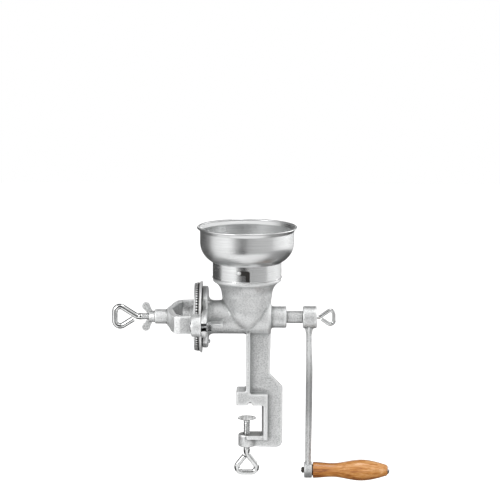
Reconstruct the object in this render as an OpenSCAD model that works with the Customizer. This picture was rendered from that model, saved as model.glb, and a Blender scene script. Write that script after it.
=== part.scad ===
// Hand grain mill with a table clamp: cast body, burr plates, yoke, crank and hopper.
// X runs along the auger axis towards the crank, Z is up, and the origin lies on the
// clamping face of the upper jaw, on the axis of the clamp screw and of the neck.

/* [Axes and fits] */
// Height of the auger axis over the clamping face of the jaw
axis_h = 116; // [112:1:126]
// Running clearance round shafts, screws and bolts
fit = 0.1; // [0.04:0.02:0.1]
// Gap between pieces that turn or slide past each other
gap = 0.3; // [0.2:0.05:0.4]

/* [Barrel and rear boss] */
// Outer radius of the barrel
barrel_r = 22.2; // [21:0.2:25]
// Wall of the barrel and of the neck above it
cast_wall = 3.5; // [2.8:0.1:4]
// Reach of the barrel from the neck axis towards the crank
barrel_reach = 32; // [31:0.5:36]
// Rounding of the barrel's closed end
barrel_round = 5; // [3:0.5:7]
// Thickness of the barrel's end wall
end_wall = 6; // [5:0.5:8]
// Radius of the flare between barrel and burr flange
flare_r = 6.5; // [4:0.5:7.5]
// Radius of the rear bearing boss
rear_boss_r = 14.2; // [12:0.1:16]
// Length of the rear bearing boss
rear_boss_len = 20; // [16:0.1:24]

/* [Burr flange] */
// Reach of the flange from the neck axis to its burr face
flange_reach = 57.8; // [56:0.2:62]
// Thickness of the flange and its ears
flange_t = 7.2; // [6:0.2:8.4]
// Radius of the flange disc
flange_r = 40.7; // [39:0.1:43]
// Half width at which the flange disc is cut flat
flange_half_w = 28.6; // [27:0.2:32]
// Raised pads that carry the stationary burr
burr_pad_t = 1; // [0.8:0.1:2.4]
// Radius of the raised pad round each burr screw
burr_pad_r = 5; // [4.4:0.2:6]
// Radius of the raised ring round the barrel's mouth
mouth_ring_r = 26; // [25:0.5:28]
// Half height of the ears
ear_half_h = 15.5; // [13:0.5:17]
// Height of the open bolt slot in each ear
ear_slot_h = 9.5; // [7:0.1:11]
// Thickness of the gusset rib under each ear
rib_t = 5.5; // [4:0.1:7]
// Reach of the gusset rib to the side
rib_reach = 50; // [46:1:54]
// Length of the gusset rib along the barrel
rib_len = 20; // [14:1:26]

/* [Neck and spigot] */
// Radius of the neck's rounded base in the barrel
neck_base_r = 30; // [28:0.5:31]
// Height of the centre of that base over the auger axis
neck_base_h = 11; // [9:0.5:13]
// Radius of the neck where the flare starts
neck_waist_r = 33.3; // [32.5:0.1:34.5]
// Height of that waist over the auger axis
neck_waist_h = 31; // [29.5:0.5:32]
// Radius of the concave flare
neck_flare_r = 19.3; // [18.8:0.1:20.5]
// Height of the seat ring's lower edge over the auger axis
seat_low_h = 48.3; // [47.5:0.1:49]
// Height of the seat ring
seat_t = 4.4; // [3.5:0.1:5.5]
// Ledge of the seat ring outside the collar's inner face
seat_ledge = 0.4; // [0.2:0.1:1.2]
// Height of the spigot over the seat
spigot_h = 17.3; // [16.6:0.1:17.6]
// Wall of the spigot
spigot_wall = 3.3; // [2.8:0.1:4]
// Radius of the bayonet lugs
lug_r = 2.5; // [2:0.1:2.8]
// Height of the lugs over the seat
lug_h = 12.8; // [11.5:0.1:13.4]
// Reach of the lugs past the collar
lug_out = 1.8; // [0.8:0.1:2.4]
// Angle of the front lug from the front, about the neck axis
lug_angle = -13; // [-18:1:-10]

/* [Column and jaw] */
// Thickness of the column's web
web_t = 8; // [6:0.5:10]
// Thickness of the column's front flange plate, along the auger axis
strip_t = 5.5; // [4.5:0.1:6.5]
// Half depth of that flange plate
strip_half_w = 17; // [14:0.5:18]
// Offset of the flange plate's outer face from the clamp axis
strip_back = 0.9; // [0.5:0.1:2]
// Reach of the web at the barrel
web_top_reach = 31.5; // [30:0.5:31.9]
// Reach of the web above the spine
web_low_reach = 30.2; // [29:0.1:31.5]
// Reach of the spine
spine_reach = 47.2; // [43:0.5:50]
// Height over the jaw at which the web starts to widen
shoulder_h = 40.5; // [36:0.5:46]
// Height over the jaw at which the web has its full width
spine_top_h = 23; // [18:0.5:28]
// Rounding of the spine's lower corner
spine_round = 9; // [6:0.5:12]
// Reach of the inner face of the frame from the clamp axis
throat_reach = 19.6; // [18:0.2:24]
// Height of the table gap
table_gap = 41.4; // [38:0.2:50]
// Thickness of the rim that runs along the inside of the frame
rim_t = 8.3; // [6:0.1:9]
// Half depth of the rim and the jaw
jaw_half_w = 16.5; // [14:0.5:19]
// Draft of the rim's inner face
rim_draft = 2.7; // [1:0.1:3.5]
// Reach of the upper jaw to the open side
jaw_reach = 13.7; // [12:0.1:16]
// Height of the jaw on the open side
jaw_h = 19; // [16:0.5:22]
// Height of the jaw beside the spine
jaw_low_h = 15; // [12:0.5:15.5]
// Width of the V notch under the jaw
notch_w = 7; // [5:0.5:8]
// Depth of the V notch
notch_d = 6.2; // [4:0.2:7]
// Distance from the clamp axis to the notch
notch_off = 1; // [0.6:0.1:3]
// Thickness of the lower arm's plate
arm_plate_t = 5.6; // [4.5:0.1:7]
// Half depth of the lower arm's plate
arm_half_w = 13.7; // [12:0.1:16]
// Height of the lower arm
lower_arm_h = 17.6; // [16:0.2:21]
// Radius of the boss for the clamp screw
clamp_boss_r = 11.2; // [9.5:0.25:12]
// Height of that boss
clamp_boss_h = 16.8; // [15.5:0.1:18.5]

/* [Stationary burr] */
// Radius of the stationary burr's back
fixed_burr_r = 47.2; // [46:0.1:49]
// Thickness of the stationary burr
fixed_burr_t = 4; // [3.4:0.1:4.8]
// Width of its bevelled rim
fixed_bevel_w = 2.7; // [1.7:0.1:3.7]
// Thickness of its bevelled rim
fixed_bevel_t = 2.8; // [2.4:0.1:3.1]
// Radius of the feed hole in the middle
feed_hole_r = 20.5; // [20.2:0.1:21.5]
// Radius of the grooves' inner ends on both burrs
groove_in_r = 26; // [25.5:0.25:28]
// Number of radial grooves on each burr
groove_count = 72; // [48:4:72]
// Width of a groove
groove_w = 2.2; // [1.4:0.1:2.2]
// Depth of a groove
groove_d = 1.4; // [0.8:0.1:1.4]
// Radius of the circle that the burr screws lie on
burr_screw_pitch_r = 32.3; // [31:0.1:34]
// Radius of a burr screw's shank
burr_screw_r = 2.5; // [2:0.1:2.6]
// Radius of a burr screw's countersunk head
burr_screw_head_r = 4.3; // [3.8:0.1:4.6]
// Height of the countersunk head
burr_screw_head_h = 1.7; // [1.4:0.1:1.9]
// Length of screw that stands out behind the flange
burr_screw_out = 2.6; // [1:0.1:4]
// Number of screws in each burr
burr_screw_count = 3; // [3:1:4]
// Angle of the first screw from the top
burr_screw_angle = 75; // [72:1:78]

/* [Rotating burr and carrier] */
// Gap between the grinding faces as set in the photograph
grind_gap = 0.5; // [0.4:0.05:1]
// Step from the stationary burr's rim in to the rotating burr's
turning_rim_step = 2.2; // [1.2:0.1:3.6]
// Thickness of the rotating burr
turning_burr_t = 2.6; // [2.2:0.1:3]
// Radius of the hole in the rotating burr
turning_hole_r = 14; // [12.5:0.25:16]
// Thickness of the carrier's disc
carrier_disc_t = 2.8; // [1.8:0.1:3.2]
// Step from the rotating burr's rim in to the carrier's
carrier_rim_step = 0.6; // [0.2:0.1:2]
// Radius of the cone at the disc
cone_r = 17.1; // [16:0.1:20]
// Length of the cone
cone_len = 6.5; // [5:0.1:8]
// Radius of the carrier's hub
carrier_hub_r = 12.6; // [12:0.1:14]
// Length of the hub beyond the cone
carrier_hub_len = 8.9; // [7.5:0.1:11]
// Radius of the thrust ball
ball_r = 3; // [2.4:0.1:3.4]
// Depth of the recess for the ball
ball_recess = 3.5; // [2.8:0.1:3.8]
// Play of the ball at each side
ball_play = 0.05; // [0.02:0.01:0.1]
// Wall between the ball's recess and the auger's socket
socket_wall = 2.2; // [1.6:0.1:3]
// Radius of the drive pin
pin_r = 2.5; // [2:0.1:3]
// Half length of the drive pin
pin_half_len = 10.5; // [9.5:0.1:11.2]

/* [Yoke] */
// Depth of the yoke from the ears to the outside of its bridge
yoke_depth = 46.7; // [45:0.1:52]
// Clearance between the stationary burr and the yoke's arms
yoke_arm_clear = 5.8; // [5:0.1:7]
// Distance of the arms' outer faces from the ear's round end
yoke_arm_edge = 17; // [15:0.5:18]
// Thickness of the yoke's bar
yoke_bar = 6; // [5:0.25:6.5]
// Half height of the yoke at its feet
yoke_foot_half_h = 14; // [12:0.5:15.5]
// Thickness of the feet
yoke_foot_t = 12.6; // [10:0.2:13]
// Half height of the arms at the feet
yoke_arm_half_h = 12.4; // [11:0.2:13.5]
// Half height of the bridge
yoke_bridge_half_h = 11; // [9.2:0.1:11]
// Radius of the boss for the adjusting screw
yoke_boss_r = 9.6; // [8:0.25:10]
// Length of that boss outside the bridge
yoke_boss_len = 16.2; // [14:0.1:18]
// Distance of a yoke bolt from the ear's round end
yoke_bolt_edge = 9; // [8:0.25:10]
// Radius of a yoke bolt
yoke_bolt_r = 3; // [2.5:0.1:3.2]
// Radius of a yoke bolt's domed head
yoke_head_r = 6.8; // [6:0.1:7.6]
// Height of the domed head
yoke_head_h = 3; // [2:0.1:4]
// Radius of a washer under the nut
washer_r = 6.5; // [6:0.1:7.5]
// Thickness of that washer
washer_t = 1.2; // [0.8:0.1:1.6]
// Width of the nut across its flats
yoke_nut_af = 10; // [9:0.5:11]
// Thickness of the nut
yoke_nut_t = 5; // [4:0.1:6]
// Thread that stands out past the nut
yoke_bolt_out = 1.5; // [0.5:0.1:4]

/* [Adjusting screw and lock nut] */
// Radius of the adjusting screw's rod
adjust_r = 4.2; // [3.5:0.1:4.4]
// Radius of its turned tip
adjust_tip_r = 3.3; // [2.8:0.1:3.4]
// Length of its turned tip
adjust_tip_len = 2.5; // [1.5:0.1:4]
// Rod that shows between the lock nut and the finger loop
adjust_show = 13.2; // [10:0.1:20]
// Length of the finger loop along the screw
adjust_loop_len = 35.7; // [31:0.1:40]
// Width of the finger loop
adjust_loop_w = 33.4; // [30:0.1:37]
// Radius of the wire in the finger loop
adjust_wire_r = 3.7; // [3.2:0.1:4]
// Length of the lock nut's hub
lock_hub_len = 7.5; // [6:0.25:9]
// Radius of the lock nut's hub
lock_hub_r = 8; // [7:0.25:9]
// Distance of the wing pads from the axis
wing_off = 13.9; // [12.5:0.1:16]
// Radius of a wing pad
wing_pad_r = 5.4; // [4.5:0.1:6]
// Thickness of a wing
wing_t = 4; // [3:0.25:5]
// Sweep of the wings away from the boss
wing_sweep = 8; // [5:0.5:10]

/* [Auger] */
// Radius of the auger's shaft in the rear boss
shaft_r = 8; // [7:0.1:8.4]
// Radius of the auger's core under the flight
core_r = 8.9; // [8.6:0.1:10]
// Clearance between flight and barrel
flight_gap = 0.7; // [0.4:0.1:1.2]
// Thickness of the flight at its foot
flight_foot_t = 5; // [4:0.25:6]
// Thickness of the flight at its edge
flight_edge_t = 3; // [2:0.25:3.5]
// Turns of the flight
flight_turns = 2.75; // [2.25:0.25:3.25]
// Length of shaft between the rear boss and the crank
shaft_show = 21.3; // [18:0.1:25]
// Width of the shaft's square end
square_w = 11; // [9:0.25:11.5]
// Depth of the bright relief in front of the rear boss
relief_d = 0.5; // [0.3:0.1:0.8]
// Length of that relief
relief_len = 1.4; // [1:0.1:2]

/* [Crank] */
// Distance between the auger axis and the grip's axis
crank_len = 206.5; // [190:0.5:220]
// Radius of the crank's hub
hub_r = 14.6; // [13:0.1:17]
// Length of the hub
hub_len = 18.5; // [17:0.1:21]
// Rounding of the hub's edges
hub_round = 1.8; // [1:0.1:2.5]
// Wall at the hub's outer end
hub_wall = 3.5; // [2.5:0.1:4.5]
// Thickness of the crank arm at its middle
arm_t = 8.6; // [7:0.1:10]
// Width of the crank arm
arm_w = 16; // [13:0.5:18]
// Bow of the crank arm
arm_bow = 0.8; // [0:0.1:2]
// Radius of the lower boss
end_boss_r = 10.6; // [9.5:0.1:12]
// Length of the lower boss
end_boss_len = 10.4; // [9:0.1:14]
// Offset of the lower boss from the hub's inner face
end_boss_off = 3; // [1.5:0.1:4]

/* [Crank screw] */
// Radius of the crank screw's wire
crank_screw_r = 2.6; // [2.2:0.1:3]
// Length of its thread inside the hub
crank_screw_in = 14; // [10:0.5:15]
// Length of its finger loop
crank_loop_len = 23.3; // [20:0.1:26]
// Width of its finger loop
crank_loop_w = 23; // [21:0.5:26]
// Radius of the wire in its finger loop
crank_wire_r = 2.4; // [1.9:0.1:2.5]
// Length of straight wire outside the hub
crank_screw_show = 1.6; // [1:0.1:3]

/* [Grip] */
// Length of the wooden grip
grip_len = 99; // [90:0.5:108]
// Radius of the grip at the crank
grip_start_r = 10.7; // [9.5:0.1:12]
// Radius of the grip's waist
grip_waist_r = 9.2; // [8:0.1:10]
// Radius of the grip's belly
grip_belly_r = 13.9; // [12.5:0.1:15.5]
// Radius of the grip's outer end
grip_end_r = 6.8; // [6:0.1:8]
// Radius of the spindle
spindle_r = 2.5; // [2:0.1:3]
// Radius of the spindle's domed head
spindle_head_r = 5.2; // [4.5:0.1:6]
// Height of the spindle's domed head
spindle_head_h = 2.7; // [2:0.1:3.2]
// Radius of the washer between boss and grip
inner_washer_r = 7.5; // [6.5:0.1:9]
// Thickness of that washer
inner_washer_t = 1.1; // [0.8:0.1:1.5]
// Width of the spindle nut across its flats
spindle_nut_af = 7; // [6.5:0.1:8]
// Thickness of the spindle nut
spindle_nut_t = 3.2; // [2.5:0.1:4]

/* [Hopper] */
// Outer radius of the collar
collar_r = 45; // [44.4:0.1:47]
// Thickness of the hopper's sheet steel
sheet_t = 0.8; // [0.6:0.05:0.9]
// Height of the collar
collar_h = 20.9; // [20.6:0.1:23]
// Width of the slot's mouth
slot_w = 5.4; // [5.3:0.1:6.2]
// Turn that releases the hopper, about the neck axis
release_turn = 15; // [12:1:18]
// Radius of the roll along the collar's lower edge
collar_roll_r = 0.7; // [0.6:0.05:0.9]
// Radius of the roll between bowl and collar
seam_roll_r = 0.9; // [0.7:0.05:1.2]
// Radius of the bowl's straight wall
bowl_r = 61.5; // [60:0.1:66]
// Radius of the bowl's lower curve
bowl_curve_r = 28.5; // [27:0.1:31]
// Height of the bowl over the collar
bowl_h = 46.8; // [43:0.2:54]
// Radius of the bowl's rolled rim
rim_roll_r = 1.4; // [1:0.1:1.8]
// Flare of the bowl's rim
rim_flare = 2.5; // [1.5:0.1:3.5]

/* [Table clamp] */
// Height between the pad's face and the jaw as set in the photograph
pad_gap_h = 19.5; // [10:0.5:24]
// Radius of the pad
pad_r = 12; // [10:0.25:14]
// Thickness of the pad's rim
pad_rim_t = 1.2; // [0.8:0.1:2]
// Depth of the pad's rounded underside
pad_cup_h = 2.2; // [1.5:0.1:3]
// Radius of the clamp screw
clamp_r = 4.2; // [3.8:0.1:4.6]
// Radius of the screw's turned tip in the pad
clamp_tip_r = 2.6; // [2:0.1:3]
// Depth of the tip in the pad
clamp_tip_len = 1.9; // [1.2:0.1:2.1]
// Length of screw between the boss and the finger loop
clamp_neck = 8; // [7.5:0.5:12]
// Length of the clamp screw's finger loop
clamp_loop_len = 31.6; // [28:0.5:36]
// Width of the clamp screw's finger loop
clamp_loop_w = 33; // [29:0.5:36]
// Radius of the loop's wire
clamp_wire_r = 3.6; // [3:0.1:3.8]

/* [Hidden] */
$fn = 72;

// Overrun of every cut past the face that it opens
over = gap;

// Stations along the auger axis, from the crank to the finger loop
rear_boss_x = barrel_reach + rear_boss_len;
hub_x = rear_boss_x + shaft_show;
hub_end_x = hub_x + hub_len;
flange_face_x = -flange_reach;
flange_back_x = flange_face_x + flange_t;
fixed_back_x = flange_face_x - burr_pad_t;
fixed_face_x = fixed_back_x - fixed_burr_t;
turning_face_x = fixed_face_x - grind_gap;
turning_back_x = turning_face_x - turning_burr_t;
carrier_back_x = turning_back_x - carrier_disc_t;
cone_end_x = carrier_back_x - cone_len;
carrier_end_x = cone_end_x - carrier_hub_len;
recess_end_x = carrier_end_x + ball_recess;
ball_x = recess_end_x - ball_play - ball_r;
tip_x = ball_x - ball_r - ball_play;
socket_end_x = recess_end_x + socket_wall;
nose_x = socket_end_x + grind_gap + fit;
pin_x = nose_x + pin_r + fit + fit;
bridge_x = flange_face_x - yoke_depth;
yoke_end_x = bridge_x - yoke_boss_len;
lock_x = yoke_end_x - gap;
loop_x = lock_x - lock_hub_len - adjust_show;

// Radii of the burrs and the carrier
fixed_face_r = fixed_burr_r - fixed_bevel_w;
turning_burr_r = fixed_burr_r - turning_rim_step;
carrier_disc_r = turning_burr_r - carrier_rim_step;

// Distances of the yoke's outer faces, the ears' ends and the bolts from the auger axis
yoke_half_w = fixed_burr_r + yoke_arm_clear + yoke_bar;
ear_reach = yoke_half_w + yoke_arm_edge;
yoke_bolt_off = ear_reach - yoke_bolt_edge;

// Heights over the auger axis
barrel_bore_r = barrel_r - cast_wall;
seat_h = seat_low_h + seat_t;
spigot_r = collar_r - sheet_t - gap;
seat_r = collar_r - sheet_t + seat_ledge;
collar_top_h = seat_h + collar_h;
lug_z = seat_h + lug_h;
run_half_h = lug_r + gap;
bowl_tail_r = collar_r - sheet_t - fit;
bowl_curve_c_r = bowl_r - bowl_curve_r;
bowl_curve_h = collar_top_h + sqrt(bowl_curve_r * bowl_curve_r - pow(bowl_tail_r - bowl_curve_c_r, 2));
rim_c_h = collar_top_h + bowl_h - rim_roll_r;

// Heights below the jaw's clamping face
arm_top_z = -table_gap;
arm_low_z = arm_top_z - lower_arm_h;
boss_low_z = arm_top_z - clamp_boss_h;
pad_z = -pad_gap_h;
pad_low_z = pad_z - pad_rim_t - pad_cup_h;
loop_z = boss_low_z - clamp_neck;

// Shares of the slotted parts and outlines
yoke_corner_shares = [[1, 0], [1, 0.12], [0.95, 0.26], [0.86, 0.72], [0.75, 0.96], [0.6, 1], [0, 1]];
grip_station_shares = [0, 0.255, 0.64, 1];
arm_station_shares = [0.052, 0.11, 0.33, 0.63, 0.965];
arm_bow_shares = [0, 0.1, 1, 0.6, 0];
arm_thickness_shares = [1.4, 0.84, 1, 1, 0.9];
arm_width_shares = [1.25, 1.06, 1, 0.95, 0.9];
arm_flat_share = 0.6;
loop_bend_share = 0.21;
loop_shoulder_share = 0.07;
flight_steps = 20;
curve_steps = 24;
dome_facets = 240;
rod_sides = 16;
bend_steps = 5;
stub_share = 0.8;

// Puts its children on the auger axis, with their Z along the auger axis from station x
module on_axis(x = 0) {
  translate([x, 0, axis_h]) rotate([0, 90, 0]) children();
}

// Turns its children about the auger axis, from the top towards +Y
module around_axis(angle) {
  translate([0, 0, axis_h]) rotate([-angle, 0, 0]) translate([0, 0, -axis_h]) children();
}

// Bar with a rounded edge at both ends
module rounded_bar(r, len, edge) {
  rotate_extrude() {
    square([r - edge, len]);
    translate([0, edge]) square([r, len - 2 * edge]);
    translate([r - edge, edge]) circle(edge);
    translate([r - edge, len - edge]) circle(edge);
  }
}

// Shallow dome of base radius r and height h that rises along -Z
module dome(r, h) {
  cap_r = (h * h + r * r) / (2 * h);
  rotate_extrude() intersection() {
    translate([0, cap_r - h]) circle(cap_r, $fn = dome_facets);
    translate([0, -h]) square([r, h]);
  }
}

// Hexagon nut with a round bore
module hex_nut(af, t, bore_r) {
  difference() {
    cylinder(h = t, d = af / cos(30), $fn = 6);
    translate([0, 0, -over]) cylinder(h = t + 2 * over, r = bore_r);
  }
}

// Flat washer
module washer(r, t, bore_r) {
  difference() {
    cylinder(h = t, r = r);
    translate([0, 0, -over]) cylinder(h = t + 2 * over, r = bore_r);
  }
}

// Direction of leg i of a flat path, as an angle
function heading(path, i) =
  let (d = path[i + 1] - path[i]) atan2(d[1], d[0]);
// Unit vector at an angle, and the one to its left
function unit(a) = [cos(a), sin(a)];
function left(a) = [-sin(a), cos(a)];
// Angle by which a path turns at its corner i, left turns positive
function path_turn(path, i) =
  let (t = heading(path, i) - heading(path, i - 1))
  t > 180 ? t - 360 : t < -180 ? t + 360 : t;
// Stations [place, heading, share of the radius] along a path whose corners are bends
function rod_stations(path, rod_r, bend) =
  let (first = heading(path, 0), last = len(path) - 1)
  concat(
    [[path[0] - rod_r * unit(first), first, stub_share], [path[0] + gap * unit(first), first, 1]],
    [
      for (i = [1 : last - 1])
        let (
          turn = path_turn(path, i), side = sign(turn), start = heading(path, i - 1),
          enter = path[i] - bend * tan(abs(turn) / 2) * unit(start),
          centre = enter + side * bend * left(start)
        )
        for (k = [0 : bend_steps])
          let (a = start + turn * k / bend_steps) [centre - side * bend * left(a), a, 1]
    ],
    [[path[last], heading(path, last - 1), 1]]
  );

// Round rod bent along a flat path, every corner with the same bend radius
module bent_rod(path, rod_r, bend) {
  stations = rod_stations(path, rod_r, bend);
  points = [
    for (st = stations, j = [0 : rod_sides - 1])
      let (t = 360 * j / rod_sides, r = rod_r * st[2], across = st[0] + r * cos(t) * left(st[1]))
      [across[0], across[1], r * sin(t)]
  ];
  sides = [
    for (i = [0 : len(stations) - 2], j = [0 : rod_sides - 1])
      let (a = rod_sides * i + j, b = rod_sides * i + (j + 1) % rod_sides)
      each [[a, b + rod_sides, b], [a, a + rod_sides, b + rod_sides]]
  ];
  last = rod_sides * (len(stations) - 1);
  ends = [[for (j = [0 : rod_sides - 1]) j], [for (j = [rod_sides - 1 : -1 : 0]) last + j]];
  polyhedron(points, concat(sides, ends), convexity = 6);
}

// Corners of a triangular finger loop that runs from the origin along +X
function loop_path(len, w, rod_r, bend) =
  let (
    far = len - rod_r, shoulder = loop_shoulder_share * len,
    centre = [far - bend - shoulder, w / 2 - rod_r - bend],
    slope = atan2(centre[1], centre[0]) + asin(bend / norm(centre)),
    half = (far - shoulder) * tan(slope),
    stop = (rod_r + gap + rod_r * cos(2 * slope)) / sin(2 * slope)
  )
  [[0, 0], [shoulder, 0], [far, half], [far, -half],
   [shoulder + stop * cos(slope), -stop * sin(slope)]];

// Finger loop in the XY plane
module finger_loop(len, w, rod_r) {
  bend = loop_bend_share * w;
  bent_rod(loop_path(len, w, rod_r, bend), rod_r, bend);
}

// Half outline of the neck of revolution, drawn inset by the given wall
module neck_outline(inset, top_r, top_h) {
  flare_c_r = neck_waist_r + neck_flare_r;
  intersection() {
    translate([0, neck_base_h]) circle(neck_base_r - inset);
    translate([0, neck_base_h - neck_base_r]) square([neck_base_r, neck_base_r]);
  }
  polygon([
    [0, neck_base_h], [neck_base_r - inset, neck_base_h],
    [neck_waist_r - inset, neck_waist_h], [0, neck_waist_h]
  ]);
  difference() {
    translate([0, neck_waist_h]) square([top_r, top_h - neck_waist_h]);
    translate([flare_c_r, neck_waist_h]) circle(neck_flare_r + inset);
  }
}

// Barrel with its rounded closed end and the flare to the flange
module barrel_solid() {
  on_axis() rotate_extrude() {
    translate([0, flange_face_x]) square([barrel_r, barrel_reach - barrel_round - flange_face_x]);
    translate([0, barrel_reach - barrel_round]) square([barrel_r - barrel_round, barrel_round]);
    intersection() {
      translate([0, barrel_reach - barrel_round]) square([barrel_r, barrel_round]);
      translate([barrel_r - barrel_round, barrel_reach - barrel_round]) circle(barrel_round);
    }
    difference() {
      translate([0, flange_back_x - over]) square([barrel_r + flare_r, flare_r + over]);
      translate([barrel_r + flare_r, flange_back_x + flare_r]) circle(flare_r);
    }
  }
}

// Outline of an ear or a foot in the YZ plane, from the axis to its round end
module ear_outline(half_h, reach) {
  translate([0, -half_h]) square([reach - half_h, 2 * half_h]);
  translate([reach - half_h, 0]) circle(half_h);
}

// Extrudes an outline drawn in Y and Z along the auger axis
module along_axis(x, len) {
  translate([x, 0, axis_h]) rotate([90, 0, 90]) linear_extrude(len) children();
}

module flange_solid() {
  along_axis(flange_face_x, flange_t) {
    intersection() {
      circle(flange_r);
      square([2 * flange_half_w, 2 * flange_r], center = true);
    }
    for (side = [0, 1]) mirror([side, 0]) ear_outline(ear_half_h, ear_reach);
  }
  on_axis(fixed_back_x) cylinder(h = burr_pad_t, r = mouth_ring_r);
  for (i = [0 : burr_screw_count - 1]) around_axis(burr_screw_angle + i * 360 / burr_screw_count)
    on_axis(fixed_back_x) translate([-burr_screw_pitch_r, 0, 0])
      cylinder(h = burr_pad_t + over, r = burr_pad_r);
}

module gusset_ribs() {
  translate([flange_back_x - over, -rib_reach, axis_h - rib_t])
    cube([rib_len + over, 2 * rib_reach, rib_t]);
}

// Column web, spine and lower arm in one plate
module frame_web() {
  rotate([90, 0, 0]) linear_extrude(web_t, center = true) difference() {
    union() {
      polygon([
        [-strip_back, axis_h - barrel_bore_r], [web_top_reach, axis_h - barrel_bore_r],
        [web_low_reach, shoulder_h], [spine_reach, spine_top_h],
        [spine_reach, arm_low_z + spine_round], [spine_reach - spine_round, arm_low_z],
        [throat_reach, arm_low_z], [0, boss_low_z + over], [-strip_back, 0]
      ]);
      translate([spine_reach - spine_round, arm_low_z + spine_round]) circle(spine_round);
    }
    translate([-spine_reach, arm_top_z]) square([throat_reach + spine_reach + rim_draft, table_gap]);
  }
}

// Rim along the inside of the frame, with a drafted inner face
module frame_rim() {
  translate([0, 0, arm_top_z - arm_plate_t]) linear_extrude(table_gap + arm_plate_t + jaw_low_h)
    polygon([
      [throat_reach, 0], [throat_reach + rim_draft, -jaw_half_w],
      [throat_reach + rim_t, -jaw_half_w], [throat_reach + rim_t, jaw_half_w],
      [throat_reach + rim_draft, jaw_half_w]
    ]);
}

module jaw() {
  difference() {
    union() {
      translate([-jaw_reach, -jaw_half_w, 0])
        cube([jaw_reach - strip_back + strip_t, 2 * jaw_half_w, jaw_h]);
      translate([-strip_back, -jaw_half_w, 0])
        cube([throat_reach + rim_t + strip_back, 2 * jaw_half_w, jaw_low_h]);
    }
    translate([notch_off, jaw_half_w + over, 0]) rotate([90, 0, 0])
      linear_extrude(2 * (jaw_half_w + over))
        polygon([[0, -over], [notch_w, -over], [notch_w, 0], [notch_w / 2, notch_d], [0, 0]]);
  }
}

module lower_arm() {
  translate([0, -arm_half_w, arm_top_z - arm_plate_t])
    cube([throat_reach + rim_t, 2 * arm_half_w, arm_plate_t]);
  translate([0, 0, boss_low_z]) cylinder(h = clamp_boss_h, r = clamp_boss_r);
}

module body_casting() {
  color("silver") difference() {
    union() {
      barrel_solid();
      flange_solid();
      gusset_ribs();
      on_axis(barrel_reach - over) cylinder(h = rear_boss_len + over, r = rear_boss_r);
      translate([0, 0, axis_h]) rotate_extrude() {
        neck_outline(0, seat_r, seat_low_h);
        translate([0, seat_low_h]) square([seat_r, seat_t]);
        translate([0, seat_h]) square([spigot_r, spigot_h]);
      }
      for (half = [0, 180]) rotate([0, 0, lug_angle + half - 90])
        translate([spigot_r - spigot_wall, 0, axis_h + lug_z]) rotate([0, 90, 0])
          cylinder(h = spigot_wall + gap + sheet_t + lug_out, r = lug_r);
      frame_web();
      translate([-strip_back, -strip_half_w, jaw_h - over])
        cube([strip_t, 2 * strip_half_w, axis_h - barrel_bore_r - jaw_h]);
      frame_rim();
      jaw();
      lower_arm();
    }
    on_axis(fixed_back_x - over)
      cylinder(h = barrel_reach - end_wall - fixed_back_x + over, r = barrel_bore_r);
    on_axis(0) cylinder(h = rear_boss_x + over, r = shaft_r + fit);
    translate([0, 0, axis_h]) rotate_extrude()
      neck_outline(cast_wall, spigot_r - spigot_wall, seat_h + spigot_h + over);
    for (i = [0 : burr_screw_count - 1]) around_axis(burr_screw_angle + i * 360 / burr_screw_count)
      on_axis(fixed_back_x - over) translate([-burr_screw_pitch_r, 0, 0])
        cylinder(h = burr_pad_t + flange_t + 2 * over, r = burr_screw_r + fit / 2);
    for (side = [0, 1]) mirror([0, side, 0]) {
      translate([flange_face_x - over, yoke_bolt_off, axis_h - ear_slot_h / 2])
        cube([flange_t + 2 * over, ear_reach - yoke_bolt_off + over, ear_slot_h]);
      on_axis(flange_face_x - over) translate([0, yoke_bolt_off, 0])
        cylinder(h = flange_t + 2 * over, r = ear_slot_h / 2);
    }
    translate([0, 0, boss_low_z - over]) cylinder(h = clamp_boss_h + 2 * over, r = clamp_r + fit);
  }
}

// Radial V grooves cut into a face at station x, open towards dir along the auger axis
module radial_grooves(x, dir, r_out) {
  for (i = [0 : groove_count - 1]) around_axis(i * 360 / groove_count)
    translate([x, 0, axis_h + groove_in_r]) linear_extrude(r_out - groove_in_r + over)
      polygon([
        [-dir * groove_d, 0], [dir * over, -groove_w / 2], [dir * over, groove_w / 2]
      ]);
}

// Places a child on each burr screw's axis, with Z along the auger axis from station x
module at_burr_screws(x) {
  for (i = [0 : burr_screw_count - 1]) around_axis(burr_screw_angle + i * 360 / burr_screw_count)
    on_axis(x) translate([-burr_screw_pitch_r, 0, 0]) children();
}

// Countersunk hole or screw body that starts at Z = 0 and runs to len
module countersunk(len, clear) {
  cylinder(h = burr_screw_head_h, r1 = burr_screw_head_r + clear, r2 = burr_screw_r + clear);
  cylinder(h = len, r = burr_screw_r + clear);
}

module stationary_burr() {
  color("gainsboro") difference() {
    on_axis() rotate_extrude() polygon([
      [feed_hole_r, fixed_face_x], [fixed_face_r, fixed_face_x],
      [fixed_burr_r, fixed_face_x + fixed_bevel_t], [fixed_burr_r, fixed_back_x],
      [feed_hole_r, fixed_back_x]
    ]);
    radial_grooves(fixed_face_x, -1, fixed_burr_r);
    at_burr_screws(fixed_face_x) countersunk(fixed_burr_t + over, fit);
    at_burr_screws(fixed_face_x - over) cylinder(h = over, r = burr_screw_head_r + fit);
  }
}

module stationary_burr_screws() {
  color("lightgray") at_burr_screws(fixed_face_x)
    countersunk(fixed_burr_t + burr_pad_t + flange_t + burr_screw_out, 0);
}

// Half outline of the yoke in plan, as points from the bridge to the foot
function yoke_side(inset) = [
  for (s = yoke_corner_shares)
    [flange_face_x - yoke_depth * s[0] + inset, max(0, yoke_half_w * s[1] - inset)]
];
// The same outline at both sides, closed along the foot
function yoke_ring(inset) = concat(
  yoke_side(inset),
  [for (i = [len(yoke_corner_shares) - 1 : -1 : 1]) [yoke_side(inset)[i][0], -yoke_side(inset)[i][1]]]
);

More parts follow.
